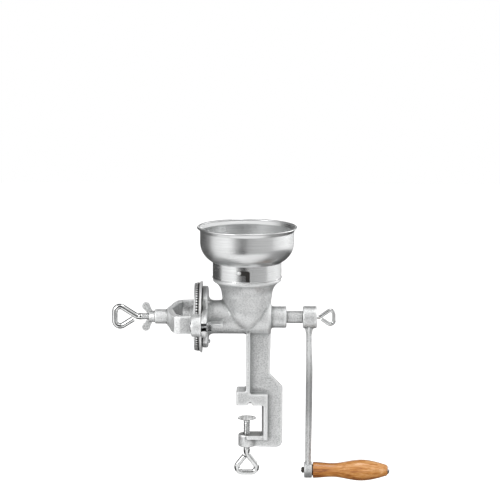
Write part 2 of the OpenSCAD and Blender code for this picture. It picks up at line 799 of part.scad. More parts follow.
module yoke() {
  color("silver") difference() {
    union() {
      intersection() {
        translate([0, 0, axis_h - yoke_foot_half_h]) linear_extrude(2 * yoke_foot_half_h) difference() {
          polygon(yoke_ring(0));
          polygon(yoke_ring(yoke_bar));
          translate([flange_face_x - yoke_foot_t, -(yoke_half_w - yoke_bar)])
            square([yoke_foot_t + yoke_bar + over, 2 * (yoke_half_w - yoke_bar)]);
        }
        translate([0, yoke_half_w + over, axis_h]) rotate([90, 0, 0])
          linear_extrude(2 * (yoke_half_w + over)) polygon([
            [bridge_x - over, -yoke_bridge_half_h], [flange_face_x, -yoke_arm_half_h],
            [flange_face_x, yoke_arm_half_h], [bridge_x - over, yoke_bridge_half_h]
          ]);
      }
      along_axis(flange_face_x - yoke_foot_t, yoke_foot_t)
        for (side = [0, 1]) mirror([side, 0]) difference() {
          ear_outline(yoke_foot_half_h, ear_reach);
          translate([0, -yoke_foot_half_h]) square([yoke_half_w - yoke_bar, 2 * yoke_foot_half_h]);
        }
      on_axis(yoke_end_x) cylinder(h = yoke_boss_len + yoke_bar, r = yoke_boss_r);
    }
    on_axis(yoke_end_x - over) cylinder(h = yoke_boss_len + 3 * yoke_bar, r = adjust_r + fit);
    for (side = [-1, 1]) on_axis(flange_face_x - yoke_foot_t - over)
      translate([0, side * yoke_bolt_off, 0]) cylinder(h = yoke_foot_t + 2 * over, r = yoke_bolt_r + fit);
  }
}

module yoke_bolts() {
  color("lightgray") for (side = [-1, 1])
    translate([0, side * yoke_bolt_off, 0]) on_axis(flange_face_x - yoke_foot_t) {
      dome(yoke_head_r, yoke_head_h);
      cylinder(h = yoke_foot_t + flange_t + washer_t + yoke_nut_t + yoke_bolt_out, r = yoke_bolt_r);
    }
}

module yoke_washers() {
  color("gainsboro") for (side = [-1, 1])
    translate([0, side * yoke_bolt_off, 0]) on_axis(flange_back_x)
      washer(washer_r, washer_t, yoke_bolt_r + fit);
}

module yoke_nuts() {
  color("darkgray") for (side = [-1, 1])
    translate([0, side * yoke_bolt_off, 0]) on_axis(flange_back_x + washer_t)
      hex_nut(yoke_nut_af, yoke_nut_t, yoke_bolt_r + fit / 2);
}

// Corners of the flight's section at turn angle a, in a frame whose Z is the auger axis
function flight_section(a, z, out_r) = [
  for (p = [
    [core_r / 2, -flight_foot_t / 2], [out_r, -flight_edge_t / 2],
    [out_r, flight_edge_t / 2], [core_r / 2, flight_foot_t / 2]
  ]) [p[0] * cos(a), p[0] * sin(a), z + p[1]]
];

// Feed flight wound left-handed, so that turning the crank clockwise moves grain to the burrs
module flight() {
  start = flange_face_x + flight_foot_t / 2;
  stop = barrel_reach - end_wall - gap - flight_foot_t / 2;
  steps = round(flight_turns * flight_steps);
  out_r = barrel_bore_r - flight_gap;
  points = [
    for (i = [0 : steps])
      each flight_section(-360 * flight_turns * i / steps, start + (stop - start) * i / steps, out_r)
  ];
  sides = [
    for (i = [0 : steps - 1], j = [0 : 3])
      let (a = 4 * i + j, b = 4 * i + (j + 1) % 4)
      each [[a, b + 4, b], [a, a + 4, b + 4]]
  ];
  last = 4 * steps;
  ends = [
    [0, 2, 3], [0, 1, 2], [last, last + 2, last + 1], [last, last + 3, last + 2]
  ];
  on_axis() polyhedron(points, concat(sides, ends), convexity = 6);
}

module auger() {
  stop = barrel_reach - end_wall - gap;
  color("darkgray") difference() {
    union() {
      on_axis(nose_x) cylinder(h = hub_x - nose_x, r = shaft_r);
      on_axis(flange_face_x) cylinder(h = stop - flange_face_x, r = core_r);
      flight();
      translate([hub_x - over, -square_w / 2, axis_h - square_w / 2])
        cube([hub_len - hub_wall - gap + over, square_w, square_w]);
    }
    on_axis(rear_boss_x + gap) difference() {
      cylinder(h = relief_len, r = shaft_r + over);
      translate([0, 0, -over]) cylinder(h = relief_len + 2 * over, r = shaft_r - relief_d);
    }
    on_axis(hub_end_x - hub_wall - crank_screw_in)
      cylinder(h = crank_screw_in + over, r = crank_screw_r + fit / 2);
    translate([pin_x, 0, axis_h - shaft_r - over]) cylinder(h = 2 * (shaft_r + over), r = pin_r + fit / 2);
  }
}

module drive_pin() {
  color("gainsboro") translate([pin_x, 0, axis_h - pin_half_len])
    cylinder(h = 2 * pin_half_len, r = pin_r);
}

module burr_carrier() {
  color("lightgray") difference() {
    on_axis() rotate_extrude() {
      polygon([
        [0, carrier_end_x], [carrier_hub_r, carrier_end_x], [carrier_hub_r, cone_end_x],
        [cone_r, carrier_back_x], [carrier_disc_r, carrier_back_x],
        [carrier_disc_r, turning_back_x], [0, turning_back_x]
      ]);
    }
    on_axis(socket_end_x) cylinder(h = turning_back_x - socket_end_x + over, r = shaft_r + fit);
    on_axis(carrier_end_x - over) cylinder(h = ball_recess + over, r = ball_r + fit);
    slot_end_x = pin_x - pin_r - grind_gap - fit;
    translate([slot_end_x, -pin_r - gap, axis_h - pin_half_len - gap])
      cube([turning_back_x - slot_end_x + over, 2 * (pin_r + gap), 2 * (pin_half_len + gap)]);
    at_burr_screws(carrier_back_x - over) cylinder(h = carrier_disc_t + 2 * over, r = burr_screw_r + fit / 2);
  }
}

module rotating_burr() {
  color("gainsboro") difference() {
    on_axis(turning_back_x) washer(turning_burr_r, turning_burr_t, turning_hole_r);
    radial_grooves(turning_face_x, 1, turning_burr_r);
    at_burr_screws(turning_face_x) rotate([0, 180, 0]) countersunk(turning_burr_t + over, fit);
    at_burr_screws(turning_face_x) cylinder(h = over, r = burr_screw_head_r + fit);
  }
}

module rotating_burr_screws() {
  color("lightgray") at_burr_screws(turning_face_x) rotate([0, 180, 0])
    countersunk(turning_burr_t + carrier_disc_t, 0);
}

module thrust_ball() {
  color("white") on_axis(ball_x) rotate_extrude() intersection() {
    circle(ball_r);
    translate([0, -ball_r]) square([ball_r, 2 * ball_r]);
  }
}

module adjusting_screw() {
  color("gainsboro") {
    on_axis(tip_x - adjust_tip_len) cylinder(h = adjust_tip_len, r = adjust_tip_r);
    on_axis(loop_x) cylinder(h = tip_x - adjust_tip_len - loop_x, r = adjust_r);
    translate([loop_x, 0, axis_h]) rotate([0, 0, 180]) rotate([90, 0, 0])
      finger_loop(adjust_loop_len, adjust_loop_w, adjust_wire_r);
  }
}

module lock_wing_nut() {
  foot = lock_hub_len / 2;
  color("silver") difference() {
    union() {
      on_axis(lock_x - lock_hub_len)
        cylinder(h = lock_hub_len, r1 = lock_hub_r - wing_t / 2, r2 = lock_hub_r);
      for (side = [0, 1]) translate([lock_x - foot, 0, axis_h]) mirror([0, 0, side])
        rotate([90, 0, 0]) linear_extrude(wing_t, center = true) {
          polygon([
            [-foot, 0], [foot, 0], [wing_pad_r - wing_sweep, wing_off],
            [-wing_pad_r - wing_sweep, wing_off]
          ]);
          translate([-wing_sweep, wing_off]) circle(wing_pad_r);
        }
    }
    on_axis(lock_x - 2 * lock_hub_len) cylinder(h = 3 * lock_hub_len, r = adjust_r + fit);
  }
}

// Thin slice of the crank arm at station i, a flat hexagon with a ridge at front and back
module arm_slice(i) {
  half_t = arm_t * arm_thickness_shares[i] / 2;
  half_w = arm_w * arm_width_shares[i] / 2;
  flat = half_w * arm_flat_share;
  boss_mid_x = hub_x + end_boss_off + end_boss_len / 2;
  translate([boss_mid_x + arm_bow * arm_bow_shares[i], 0, axis_h - crank_len * arm_station_shares[i]])
    linear_extrude(gap) polygon([
      [-half_t, -flat], [0, -half_w], [half_t, -flat], [half_t, flat], [0, half_w], [-half_t, flat]
    ]);
}

module crank_arm() {
  boss_x = hub_x + end_boss_off;
  color("lightgray") difference() {
    union() {
      on_axis(hub_x) rounded_bar(hub_r, hub_len, hub_round);
      for (i = [0 : len(arm_station_shares) - 2]) hull() {
        arm_slice(i);
        arm_slice(i + 1);
      }
      translate([0, 0, -crank_len]) on_axis(boss_x) rounded_bar(end_boss_r, end_boss_len, hub_round / 2);
    }
    translate([hub_x - over, -square_w / 2 - fit, axis_h - square_w / 2 - fit])
      cube([hub_len - hub_wall + over, square_w + 2 * fit, square_w + 2 * fit]);
    on_axis(hub_x) cylinder(h = hub_len + over, r = crank_screw_r + fit);
    translate([0, 0, -crank_len]) on_axis(boss_x - over)
      cylinder(h = end_boss_len + 2 * over, r = spindle_r + fit);
  }
}

module crank_screw() {
  color("gainsboro") {
    on_axis(hub_end_x - hub_wall - crank_screw_in + fit)
      cylinder(h = hub_wall + crank_screw_in - fit + crank_screw_show, r = crank_screw_r);
    translate([hub_end_x + crank_screw_show, 0, axis_h]) rotate([90, 0, 0])
      finger_loop(crank_loop_len, crank_loop_w, crank_wire_r);
  }
}

// Stations of the grip's axis
grip_z = -crank_len;
washer_x = hub_x + end_boss_off + end_boss_len;
grip_x = washer_x + inner_washer_t;
grip_end_x = grip_x + grip_len;

module grip_spindle() {
  nut_x = hub_x + end_boss_off - spindle_nut_t;
  color("gainsboro") translate([0, 0, grip_z]) {
    on_axis(nut_x - spindle_r / 2) cylinder(h = grip_end_x - nut_x + spindle_r / 2, r = spindle_r);
    on_axis(grip_end_x) rotate([180, 0, 0]) dome(spindle_head_r, spindle_head_h);
  }
}

module spindle_nut() {
  color("dimgray") translate([0, 0, grip_z]) on_axis(hub_x + end_boss_off - spindle_nut_t)
    hex_nut(spindle_nut_af, spindle_nut_t, spindle_r + fit / 2);
}

module spindle_washer() {
  color("silver") translate([0, 0, grip_z]) on_axis(washer_x)
    washer(inner_washer_r, inner_washer_t, spindle_r + fit);
}

// Radius of the turned grip at share s of its length, eased between its stations
function eased(a, b, t) = a + (b - a) * (1 - cos(180 * t)) / 2;
function grip_r(s) =
  let (k = grip_station_shares)
  s < k[1] ? eased(grip_start_r, grip_waist_r, (s - k[0]) / (k[1] - k[0]))
  : s < k[2] ? eased(grip_waist_r, grip_belly_r, (s - k[1]) / (k[2] - k[1]))
  : grip_end_r + (grip_belly_r - grip_end_r) * cos(90 * (s - k[2]) / (k[3] - k[2]));

module wood_grip() {
  color("peru") translate([0, 0, grip_z]) on_axis(grip_x) difference() {
    rotate_extrude() polygon(concat(
      [[0, 0]], [for (i = [0 : curve_steps]) [grip_r(i / curve_steps), grip_len * i / curve_steps]],
      [[0, grip_len]]
    ));
    translate([0, 0, -over]) cylinder(h = grip_len + 2 * over, r = spindle_r + fit);
  }
}

// Half outline of the filled bowl, drawn inset by the given sheet
module bowl_outline(inset) {
  wall_top_h = rim_c_h - 2 * rim_flare;
  intersection() {
    translate([bowl_curve_c_r, bowl_curve_h]) circle(bowl_curve_r - inset);
    translate([0, bowl_curve_h - bowl_curve_r]) square([bowl_r, bowl_curve_r]);
  }
  translate([0, bowl_curve_h - bowl_curve_r + inset])
    square([bowl_curve_c_r, bowl_curve_r - inset]);
  polygon([
    [0, bowl_curve_h], [bowl_r - inset, bowl_curve_h], [bowl_r - inset, wall_top_h],
    [bowl_r + rim_flare - inset, rim_c_h], [0, rim_c_h]
  ]);
}

module hopper_bowl() {
  low_h = seat_h + spigot_h + gap;
  color("lightgray") translate([0, 0, axis_h]) rotate_extrude() {
    difference() {
      union() {
        bowl_outline(0);
        translate([0, low_h]) square([bowl_tail_r, collar_top_h - low_h + sheet_t]);
        translate([collar_r + fit, collar_top_h + seam_roll_r]) circle(seam_roll_r);
      }
      bowl_outline(sheet_t);
      square([bowl_tail_r - sheet_t, bowl_curve_h]);
      translate([0, rim_c_h]) square([bowl_r, rim_roll_r]);
    }
    translate([bowl_r + rim_flare, rim_c_h]) circle(rim_roll_r);
  }
}

module hopper_collar() {
  color("gainsboro") difference() {
    translate([0, 0, axis_h]) rotate_extrude() {
      translate([collar_r - sheet_t, seat_h]) square([sheet_t, collar_h]);
      translate([collar_r + collar_roll_r - sheet_t, seat_h + collar_roll_r]) circle(collar_roll_r);
    }
    for (half = [0, 180]) rotate([0, 0, lug_angle + half - 90]) {
      translate([0, 0, axis_h + lug_z]) rotate([0, 90, 0]) cylinder(h = seat_r + lug_out, r = run_half_h);
      rotate([0, 0, release_turn]) {
        translate([0, 0, axis_h + lug_z]) rotate([0, 90, 0]) cylinder(h = seat_r + lug_out, r = run_half_h);
        translate([0, -slot_w / 2, axis_h + seat_h - over])
          cube([seat_r + lug_out, slot_w, lug_h + over]);
      }
      translate([0, 0, axis_h + lug_z - run_half_h]) rotate_extrude(angle = release_turn)
        square([seat_r + lug_out, 2 * run_half_h]);
    }
  }
}

module clamp_screw() {
  shoulder_z = pad_low_z - fit;
  color("gainsboro") {
    translate([0, 0, shoulder_z]) cylinder(h = fit + clamp_tip_len, r = clamp_tip_r);
    translate([0, 0, loop_z + over]) cylinder(h = shoulder_z - loop_z - over, r = clamp_r);
    translate([0, 0, loop_z]) rotate([0, 90, 0]) rotate([90, 0, 0])
      finger_loop(clamp_loop_len, clamp_loop_w, clamp_wire_r);
  }
}

module clamp_pad() {
  color("lightgray") difference() {
    translate([0, 0, pad_z]) {
      translate([0, 0, -pad_rim_t]) cylinder(h = pad_rim_t, r = pad_r);
      translate([0, 0, -pad_rim_t]) dome(pad_r, pad_cup_h);
    }
    translate([0, 0, pad_low_z - over]) cylinder(h = clamp_tip_len + fit + over, r = clamp_tip_r + fit);
  }
}

body_casting();
stationary_burr();
stationary_burr_screws();
yoke();
yoke_bolts();
yoke_washers();
yoke_nuts();
auger();
drive_pin();
burr_carrier();
rotating_burr();
rotating_burr_screws();
thrust_ball();
adjusting_screw();
lock_wing_nut();
crank_arm();
crank_screw();
grip_spindle();
spindle_nut();
spindle_washer();
wood_grip();
hopper_bowl();
hopper_collar();
clamp_screw();
clamp_pad();
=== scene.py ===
import math

import bpy
import numpy as np
from mathutils import Matrix, Vector, noise


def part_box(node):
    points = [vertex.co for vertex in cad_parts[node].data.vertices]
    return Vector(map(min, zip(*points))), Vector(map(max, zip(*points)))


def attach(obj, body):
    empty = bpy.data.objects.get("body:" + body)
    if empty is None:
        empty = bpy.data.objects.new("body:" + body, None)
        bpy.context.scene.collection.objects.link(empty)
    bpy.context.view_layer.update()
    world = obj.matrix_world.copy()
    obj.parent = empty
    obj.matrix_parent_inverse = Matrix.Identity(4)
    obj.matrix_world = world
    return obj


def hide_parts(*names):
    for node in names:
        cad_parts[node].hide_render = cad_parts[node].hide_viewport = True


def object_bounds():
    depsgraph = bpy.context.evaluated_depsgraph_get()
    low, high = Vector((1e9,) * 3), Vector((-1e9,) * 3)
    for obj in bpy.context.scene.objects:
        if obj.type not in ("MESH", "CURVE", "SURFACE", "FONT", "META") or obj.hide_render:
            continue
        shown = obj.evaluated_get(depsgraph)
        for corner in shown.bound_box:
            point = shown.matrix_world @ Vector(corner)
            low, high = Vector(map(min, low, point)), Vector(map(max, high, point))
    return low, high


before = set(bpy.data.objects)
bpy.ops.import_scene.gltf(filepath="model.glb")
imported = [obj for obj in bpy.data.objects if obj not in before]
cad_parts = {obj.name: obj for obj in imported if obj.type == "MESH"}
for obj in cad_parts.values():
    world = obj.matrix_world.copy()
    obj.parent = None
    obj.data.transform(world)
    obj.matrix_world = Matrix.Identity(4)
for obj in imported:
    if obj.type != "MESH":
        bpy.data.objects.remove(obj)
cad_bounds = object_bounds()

# The camera stands where the photograph was taken from: three metres off, a little above the
# auger's axis and turned slightly to the crank's side, with a long lens and no shift.
mm = 0.001
axis_h = 116 * mm
camera_azimuth = math.radians(0.8897)
camera_elevation = math.radians(9.5171)
camera_roll = math.radians(0.1315)
camera_distance = 3000 * mm
far_clip = 30
pixels_per_mm = 0.7612
photo_side = 500
neck_pixel = (246.97, 316.80)

right = Vector((math.cos(camera_azimuth), math.sin(camera_azimuth), 0))
back = Vector((
    math.sin(camera_azimuth) * math.cos(camera_elevation),
    -math.cos(camera_azimuth) * math.cos(camera_elevation),
    math.sin(camera_elevation),
))
up = back.cross(right)
rolled_right = right * math.cos(camera_roll) + up * math.sin(camera_roll)
rolled_up = up * math.cos(camera_roll) - right * math.sin(camera_roll)
across = (neck_pixel[0] - photo_side / 2) / pixels_per_mm * mm
above = (photo_side / 2 - neck_pixel[1]) / pixels_per_mm * mm

scene = bpy.context.scene
lens = bpy.data.cameras.new("camera")
lens.lens = pixels_per_mm * camera_distance / mm * lens.sensor_width / photo_side
lens.clip_end = far_clip
camera = bpy.data.objects.new("camera", lens)
scene.collection.objects.link(camera)
place = Vector((0, 0, axis_h)) - rolled_right * across - rolled_up * above
place = place + back * camera_distance
turn = Matrix((rolled_right, rolled_up, back)).transposed().to_4x4()
camera.matrix_world = Matrix.Translation(place) @ turn
scene.camera = camera
scene.view_settings.view_transform = "Standard"


# The studio: a pale floor below the lowest reach of the clamp screw, soft light from the front
# left and right, and a room that is white to the camera. Grey cards, seen in reflections only,
# stand round and over the mill and give the bright metal its dark bands.
def linear(code):
    """Linear colour of an sRGB hex code."""
    parts = [int(code[k:k + 2], 16) / 255 for k in (1, 3, 5)]
    return tuple(p / 12.92 if p <= 0.04045 else ((p + 0.055) / 1.055) ** 2.4 for p in parts) + (1,)


def add(tree, kind, inputs=(), stops=(), **settings):
    """Adds one node with its settings and links. The inputs are a row for its first sockets, or a
    table of sockets by name or number. Each is a number, a colour, a socket, or a node, which
    stands for its first output. A colour ramp has stops, each a position and a hex code."""
    node = tree.nodes.new("ShaderNode" + kind)
    for name, value in settings.items():
        setattr(node, name, value)
    for name, value in inputs.items() if isinstance(inputs, dict) else enumerate(inputs):
        if isinstance(value, bpy.types.Node):
            value = value.outputs[0]
        if isinstance(value, bpy.types.NodeSocket):
            tree.links.new(value, node.inputs[name])
        else:
            node.inputs[name].default_value = value
    if stops:
        points = node.color_ramp.elements
        while len(points) < len(stops):
            points.new(1)
        for point, (position, code) in zip(points, stops):
            point.position = position
            point.color = linear(code)
    return node


def emptied(owner):
    """The owner's node tree, with nothing in it."""
    owner.use_nodes = True
    owner.node_tree.nodes.clear()
    return owner.node_tree


room_dim, room_bright = 0.38, 0.86
scene.world = bpy.data.worlds.new("room")
room = emptied(scene.world)
heading = add(room, "TexCoord").outputs["Generated"]
height = add(room, "SeparateXYZ", (heading,)).outputs["Z"]
level = add(room, "MapRange", (height, -0.4, 0.9, room_dim, room_bright))
dim = add(room, "Background", {"Color": linear("#FFFFFF"), "Strength": level})
white = add(room, "Background", {"Color": linear("#FFFFFF"), "Strength": 1.0})
path = add(room, "LightPath").outputs
seen = add(room, "Math", (path["Is Camera Ray"], path["Is Glossy Ray"]), operation="MAXIMUM")
seen = add(room, "Math", (seen, path["Is Transmission Ray"]), operation="MAXIMUM")
shown = add(room, "MixShader", (seen, dim, white))
add(room, "OutputWorld", {"Surface": shown})

floor_side = 6
clamp_travel_down, floor_clear = 18 * mm, 1 * mm
floor_z = cad_bounds[0].z - (clamp_travel_down + floor_clear)
bpy.ops.mesh.primitive_plane_add(size=floor_side, location=(0, 0, floor_z))
floor = bpy.context.object
floor.name = "floor"

# Matt paper: pale grey, so the mill's shadow stays on it, and lifted to white for the camera.
floor_lift, mirrored_lift = 0.65, 0.32
paper = bpy.data.materials.new("pale floor paper")
tree = emptied(paper)
matt = add(tree, "BsdfDiffuse", {"Color": linear("#D2D2D2")})
path = add(tree, "LightPath").outputs
seen = add(tree, "Math", (path["Is Camera Ray"], floor_lift), operation="MULTIPLY")
mirrored = add(tree, "Math", (path["Is Glossy Ray"], mirrored_lift), operation="MULTIPLY")
lift = add(tree, "Math", (seen, mirrored), operation="MAXIMUM")
glow = add(tree, "Emission", {"Color": linear("#FFFFFF"), "Strength": lift})
add(tree, "OutputMaterial", {"Surface": add(tree, "AddShader", (matt, glow))})
floor.data.materials.append(paper)


def lamp(name, place, side, power):
    """Square soft lamp that faces the middle of the mill."""
    light = bpy.data.lights.new(name, "AREA")
    light.size = side
    light.energy = power
    piece = bpy.data.objects.new(name, light)
    scene.collection.objects.link(piece)
    piece.location = place
    to_mill = Vector((0, 0, axis_h)) - Vector(place)
    piece.rotation_euler = to_mill.to_track_quat("-Z", "Y").to_euler()


lamp("key lamp", (-1.5, -1.9, 0.9), 1.0, 22)
lamp("fill lamp", (1.9, -1.3, 0.5), 1.0, 12)
lamp("top lamp", (0.15, -0.1, 0.95), 0.4, 1.6)
lamp("rim lamp", (1.7, 0.75, 0.35), 0.6, 4)


def flag(name, rows, shade):
    """Grey card made of rows of points. Only reflections show it."""
    width = len(rows[0])
    faces = [
        (r * width + k, r * width + k + 1, (r + 1) * width + k + 1, (r + 1) * width + k)
        for r in range(len(rows) - 1) for k in range(width - 1)
    ]
    mesh = bpy.data.meshes.new(name)
    mesh.from_pydata([p for row in rows for p in row], [], faces)
    card = bpy.data.materials.new(name + " card")
    tree = emptied(card)
    tone = add(tree, "Emission", {"Color": linear(shade), "Strength": 1.0})
    add(tree, "OutputMaterial", {"Surface": tone})
    mesh.materials.append(card)
    piece = bpy.data.objects.new(name, mesh)
    scene.collection.objects.link(piece)
    for ray in ("camera", "diffuse", "shadow", "transmission"):
        setattr(piece, "visible_" + ray, False)


flag_steps = 24
flag_reach, flag_h, ceiling_h = 0.95, 0.9, 1.1
near_foot, near_reach = 0.03, 0.25
flag_sides = (-0.8, 0.8)
rear_top_foot, overhead_front = 0.5, -0.25


def standing_flag(name, start, stop, foot, high, shade, reach=flag_reach):
    """Curved card between two bearings, 0 being the photograph's front. Its foot lies on the
    floor towards the mill, and without a height it is the foot alone."""
    bearings = [
        math.radians(start + (stop - start) * k / flag_steps) for k in range(flag_steps + 1)
    ]
    low = cad_bounds[0].z
    rows = [(foot, low), (reach, low)] + ([(reach, high)] if high else [])
    flag(name, [[(r * math.sin(b), -r * math.cos(b), z) for b in bearings] for r, z in rows], shade)


standing_flag("left rear flag", 196, 266, 0.3, flag_h, "#4A4A4A")
standing_flag("right rear flag", 157, 170, 0.3, flag_h, "#262626")
standing_flag("front flag", -11, 2, 0.45, flag_h, "#101010")
standing_flag("front left flag", -22, -11, 0.45, flag_h, "#4C4C4C")
standing_flag("front edge flag", -32, -22, 0.45, flag_h, "#A0A0A0")
standing_flag("right flag", 5, 72, 0.5, flag_h, "#BCBCBC")
standing_flag("right floor flag", 60, 125, 0.25, None, "#909090")
standing_flag("near right floor flag", 55, 125, near_foot, None, "#4A4A4A", near_reach)
standing_flag("near left floor flag", 262, 310, near_foot, None, "#4A4A4A", near_reach)
standing_flag("rear floor flag", 125, 262, near_foot, None, "#303030")
rear_top = [[(x, flag_reach, z) for x in flag_sides] for z in (rear_top_foot, ceiling_h)]
overhead = [[(x, y, ceiling_h) for x in flag_sides] for y in (overhead_front, flag_reach)]
flag("rear top flag", rear_top, "#303030")
flag("overhead flag", overhead, "#4A4A4A")


# The body casting: grey iron poured in a sand mould and tinned. Its edges and inner corners
# are soft, and the tin follows the sandy skin. It carries the neck, the barrel, the ears and
# the table clamp. Its spigot is painted dark where the hopper's collar hides it, and the lower
# arm's flat top is painted darker: both are painted shade.
def fit_out(piece, material, body, slot, *nodes):
    """Gives a piece its material and its body, and hides the nodes that it stands for. The slot
    is not used.
    """
    piece.data.materials.clear()
    piece.data.materials.append(material)
    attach(piece, body)
    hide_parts(*nodes)


def cast_copy(name, node, cell, rounds, grain):
    """A node's shape with the soft edges, fillets and uneven skin that a mould leaves."""
    piece = bpy.data.objects.new(name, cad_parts[node].data.copy())
    scene.collection.objects.link(piece)
    even = piece.modifiers.new("even cells", "REMESH")
    even.mode = "VOXEL"
    even.voxel_size = cell
    soften = piece.modifiers.new("fillets", "SMOOTH")
    soften.iterations = rounds
    graph = bpy.context.evaluated_depsgraph_get()
    mesh = bpy.data.meshes.new_from_object(piece.evaluated_get(graph))
    piece.modifiers.clear()
    piece.data = mesh
    places = np.empty(len(mesh.vertices) * 3, np.float32)
    normals = places.copy()
    mesh.vertices.foreach_get("co", places)
    mesh.vertices.foreach_get("normal", normals)
    places, normals = places.reshape(-1, 3), normals.reshape(-1, 3)
    lump, sand = 1 / (9 * mm), 1 / (2.4 * mm)
    rise = np.array([
        0.5 * noise.noise(Vector(p) * lump) + 0.5 * noise.noise(Vector(p) * sand) for p in places
    ], np.float32)
    low, high = (np.array(corner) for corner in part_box(node))
    places = np.clip(places + normals * (rise * grain)[:, None], low, high)
    mesh.vertices.foreach_set("co", places.ravel())
    mesh.shade_smooth()
    mesh.update()
    return piece


def tinned_metal(name, tones, roughness, grit=1.5 * mm, depth=0.4 * mm, paint=None, metal=0.7):
    """Tinned sand casting. Its tone follows a grit that is drawn a little coarser than a pixel of
    the photograph. Convex edges are painted brighter and hollows darker, a painted highlight
    and painted shade, and corners and narrow gaps are darkened as painted shade."""
    light, middle, dark = tones
    cloud_size, pit_size, gap_reach = 20 * mm, 5 * mm, 9 * mm
    material = bpy.data.materials.new(name)
    tree = emptied(material)
    place = add(tree, "TexCoord").outputs["Object"]
    cloud = add(tree, "TexNoise", {"Vector": place, "Scale": 1 / cloud_size, "Detail": 2.0})
    sand = add(tree, "TexNoise", {
        "Vector": place, "Scale": 1 / grit, "Detail": 4.0, "Roughness": 0.75,
    })
    edges = add(tree, "NewGeometry").outputs["Pointiness"]
    # Convex edges are painted lighter and hollows darker, by pointiness: painted highlight and
    # painted shade.
    wear_and_edge_light = add(tree, "MapRange", (edges, 0.47, 0.53))
    tone = add(tree, "Mix", {0: 0.12, 2: sand, 3: cloud}, data_type="FLOAT")
    tone = add(tree, "Mix", {0: 0.3, 2: tone, 3: wear_and_edge_light}, data_type="FLOAT")
    skin = add(tree, "ValToRGB", (tone,), ((0.38, dark), (0.5, middle), (0.62, light)))
    pits = add(tree, "TexVoronoi", {"Vector": place, "Scale": 1 / pit_size})
    pitted = add(tree, "MapRange", (pits, 0.04, 0.12, 0.5, 0.0))
    dirt_and_shade = {0: pitted, 6: skin, 7: linear("#6E6E6D")}
    skin = add(tree, "Mix", dirt_and_shade, data_type="RGBA").outputs[2]
    # Corners and narrow gaps, found by ambient occlusion, are darkened: painted shade.
    near = add(tree, "AmbientOcclusion", {"Distance": gap_reach}, samples=8).outputs["AO"]
    for start, stop, share, code in ((0.5, 0.95, 0.35, "#6A6A69"), (0.1, 0.5, 0.9, "#2B2A29")):
        painted_shade = add(tree, "MapRange", (near, start, stop, share, 0.0))
        dirt_and_shade = {0: painted_shade, 6: skin, 7: linear(code)}
        skin = add(tree, "Mix", dirt_and_shade, data_type="RGBA").outputs[2]
    if paint:
        skin = paint(tree, place, skin)
    gloss = add(tree, "MapRange", (sand, 0.35, 0.65, roughness - 0.08, roughness + 0.1))
    grains = add(tree, "Bump", {"Height": sand, "Distance": depth, "Strength": 0.55})
    dents = add(tree, "Bump", {
        "Height": pits, "Distance": depth, "Strength": 0.2, "Normal": grains,
    })
    shader = add(tree, "BsdfPrincipled", {
        "Base Color": skin, "Metallic": metal, "Roughness": gloss, "Normal": dents,
    })
    add(tree, "OutputMaterial", {"Surface": shader})
    return material


arm_top_z = -41.4 * mm
spigot_r, spigot_fade = 44.3 * mm, 0.3 * mm
collar_foot_z, collar_fade = axis_h + 53.2 * mm, 1 * mm
arm_shade_start, arm_shade_end = 1.5 * mm, 2.5 * mm


def collar_and_arm_shade(tree, place, skin):
    """Paints shade on the spigot where the collar hides it, but not on its lugs, and on the lower
    arm's flat top under the jaw, which is painted darker."""
    parts = add(tree, "SeparateXYZ", (place,)).outputs
    level = add(tree, "CombineXYZ", (parts["X"], parts["Y"]))
    radius = add(tree, "VectorMath", (level,), operation="LENGTH").outputs["Value"]
    # The spigot under the collar is painted dark: painted shade.
    inside = add(tree, "MapRange", (radius, spigot_r, spigot_r + spigot_fade, 1.0, 0.0))
    over = add(tree, "MapRange", (parts["Z"], collar_foot_z, collar_foot_z + collar_fade))
    painted_shade = add(tree, "Math", (inside, over), operation="MULTIPLY")
    collar_shade = {0: painted_shade, 6: skin, 7: linear("#3C3B39")}
    skin = add(tree, "Mix", collar_shade, data_type="RGBA").outputs[2]
    # The lower arm's flat top is painted darker: painted shade.
    normal = add(tree, "NewGeometry").outputs["Normal"]
    faces_up = add(tree, "SeparateXYZ", (normal,)).outputs["Z"]
    faces_up = add(tree, "MapRange", (faces_up, 0.75, 0.95, 0.0, 0.75))
    near_top = add(tree, "Math", (parts["Z"], -arm_top_z), operation="ADD")
    near_top = add(tree, "Math", (near_top,), operation="ABSOLUTE")
    near_top = add(tree, "MapRange", (near_top, arm_shade_start, arm_shade_end, 1.0, 0.0))
    arm_top_shade = add(tree, "Math", (faces_up, near_top), operation="MULTIPLY")
    arm_top_shaded = {0: arm_top_shade, 6: skin, 7: linear("#5A5955")}
    return add(tree, "Mix", arm_top_shaded, data_type="RGBA").outputs[2]


# Tin over a sandy skin: pale grey and half matt, with glints on the grit.
body_tones = ("#EEEFEF", "#D7D8D8", "#A7A9A9")
tinned_casting = tinned_metal("tinned sand casting", body_tones, 0.42, paint=collar_and_arm_shade)
casting = cast_copy("body_casting_skin", "body_casting", 1.2 * mm, 5, 0.16 * mm)
fit_out(casting, tinned_casting, "housing", "tinned_casting", "body_casting")

# The auger: one rough iron casting. Only its rear shaft shows, between the boss and the crank,
# darker and more pitted than the body. The steel pin across its nose drives the burr carrier.
auger_tones = ("#E8E9E9", "#C4C5C5", "#6E6F6F")
rough_iron = tinned_metal("rough auger iron", auger_tones, 0.5)
auger = cast_copy("auger_skin", "auger", 0.9 * mm, 2, 0.25 * mm)
fit_out(auger, rough_iron, "rotor", "auger_iron", "auger")


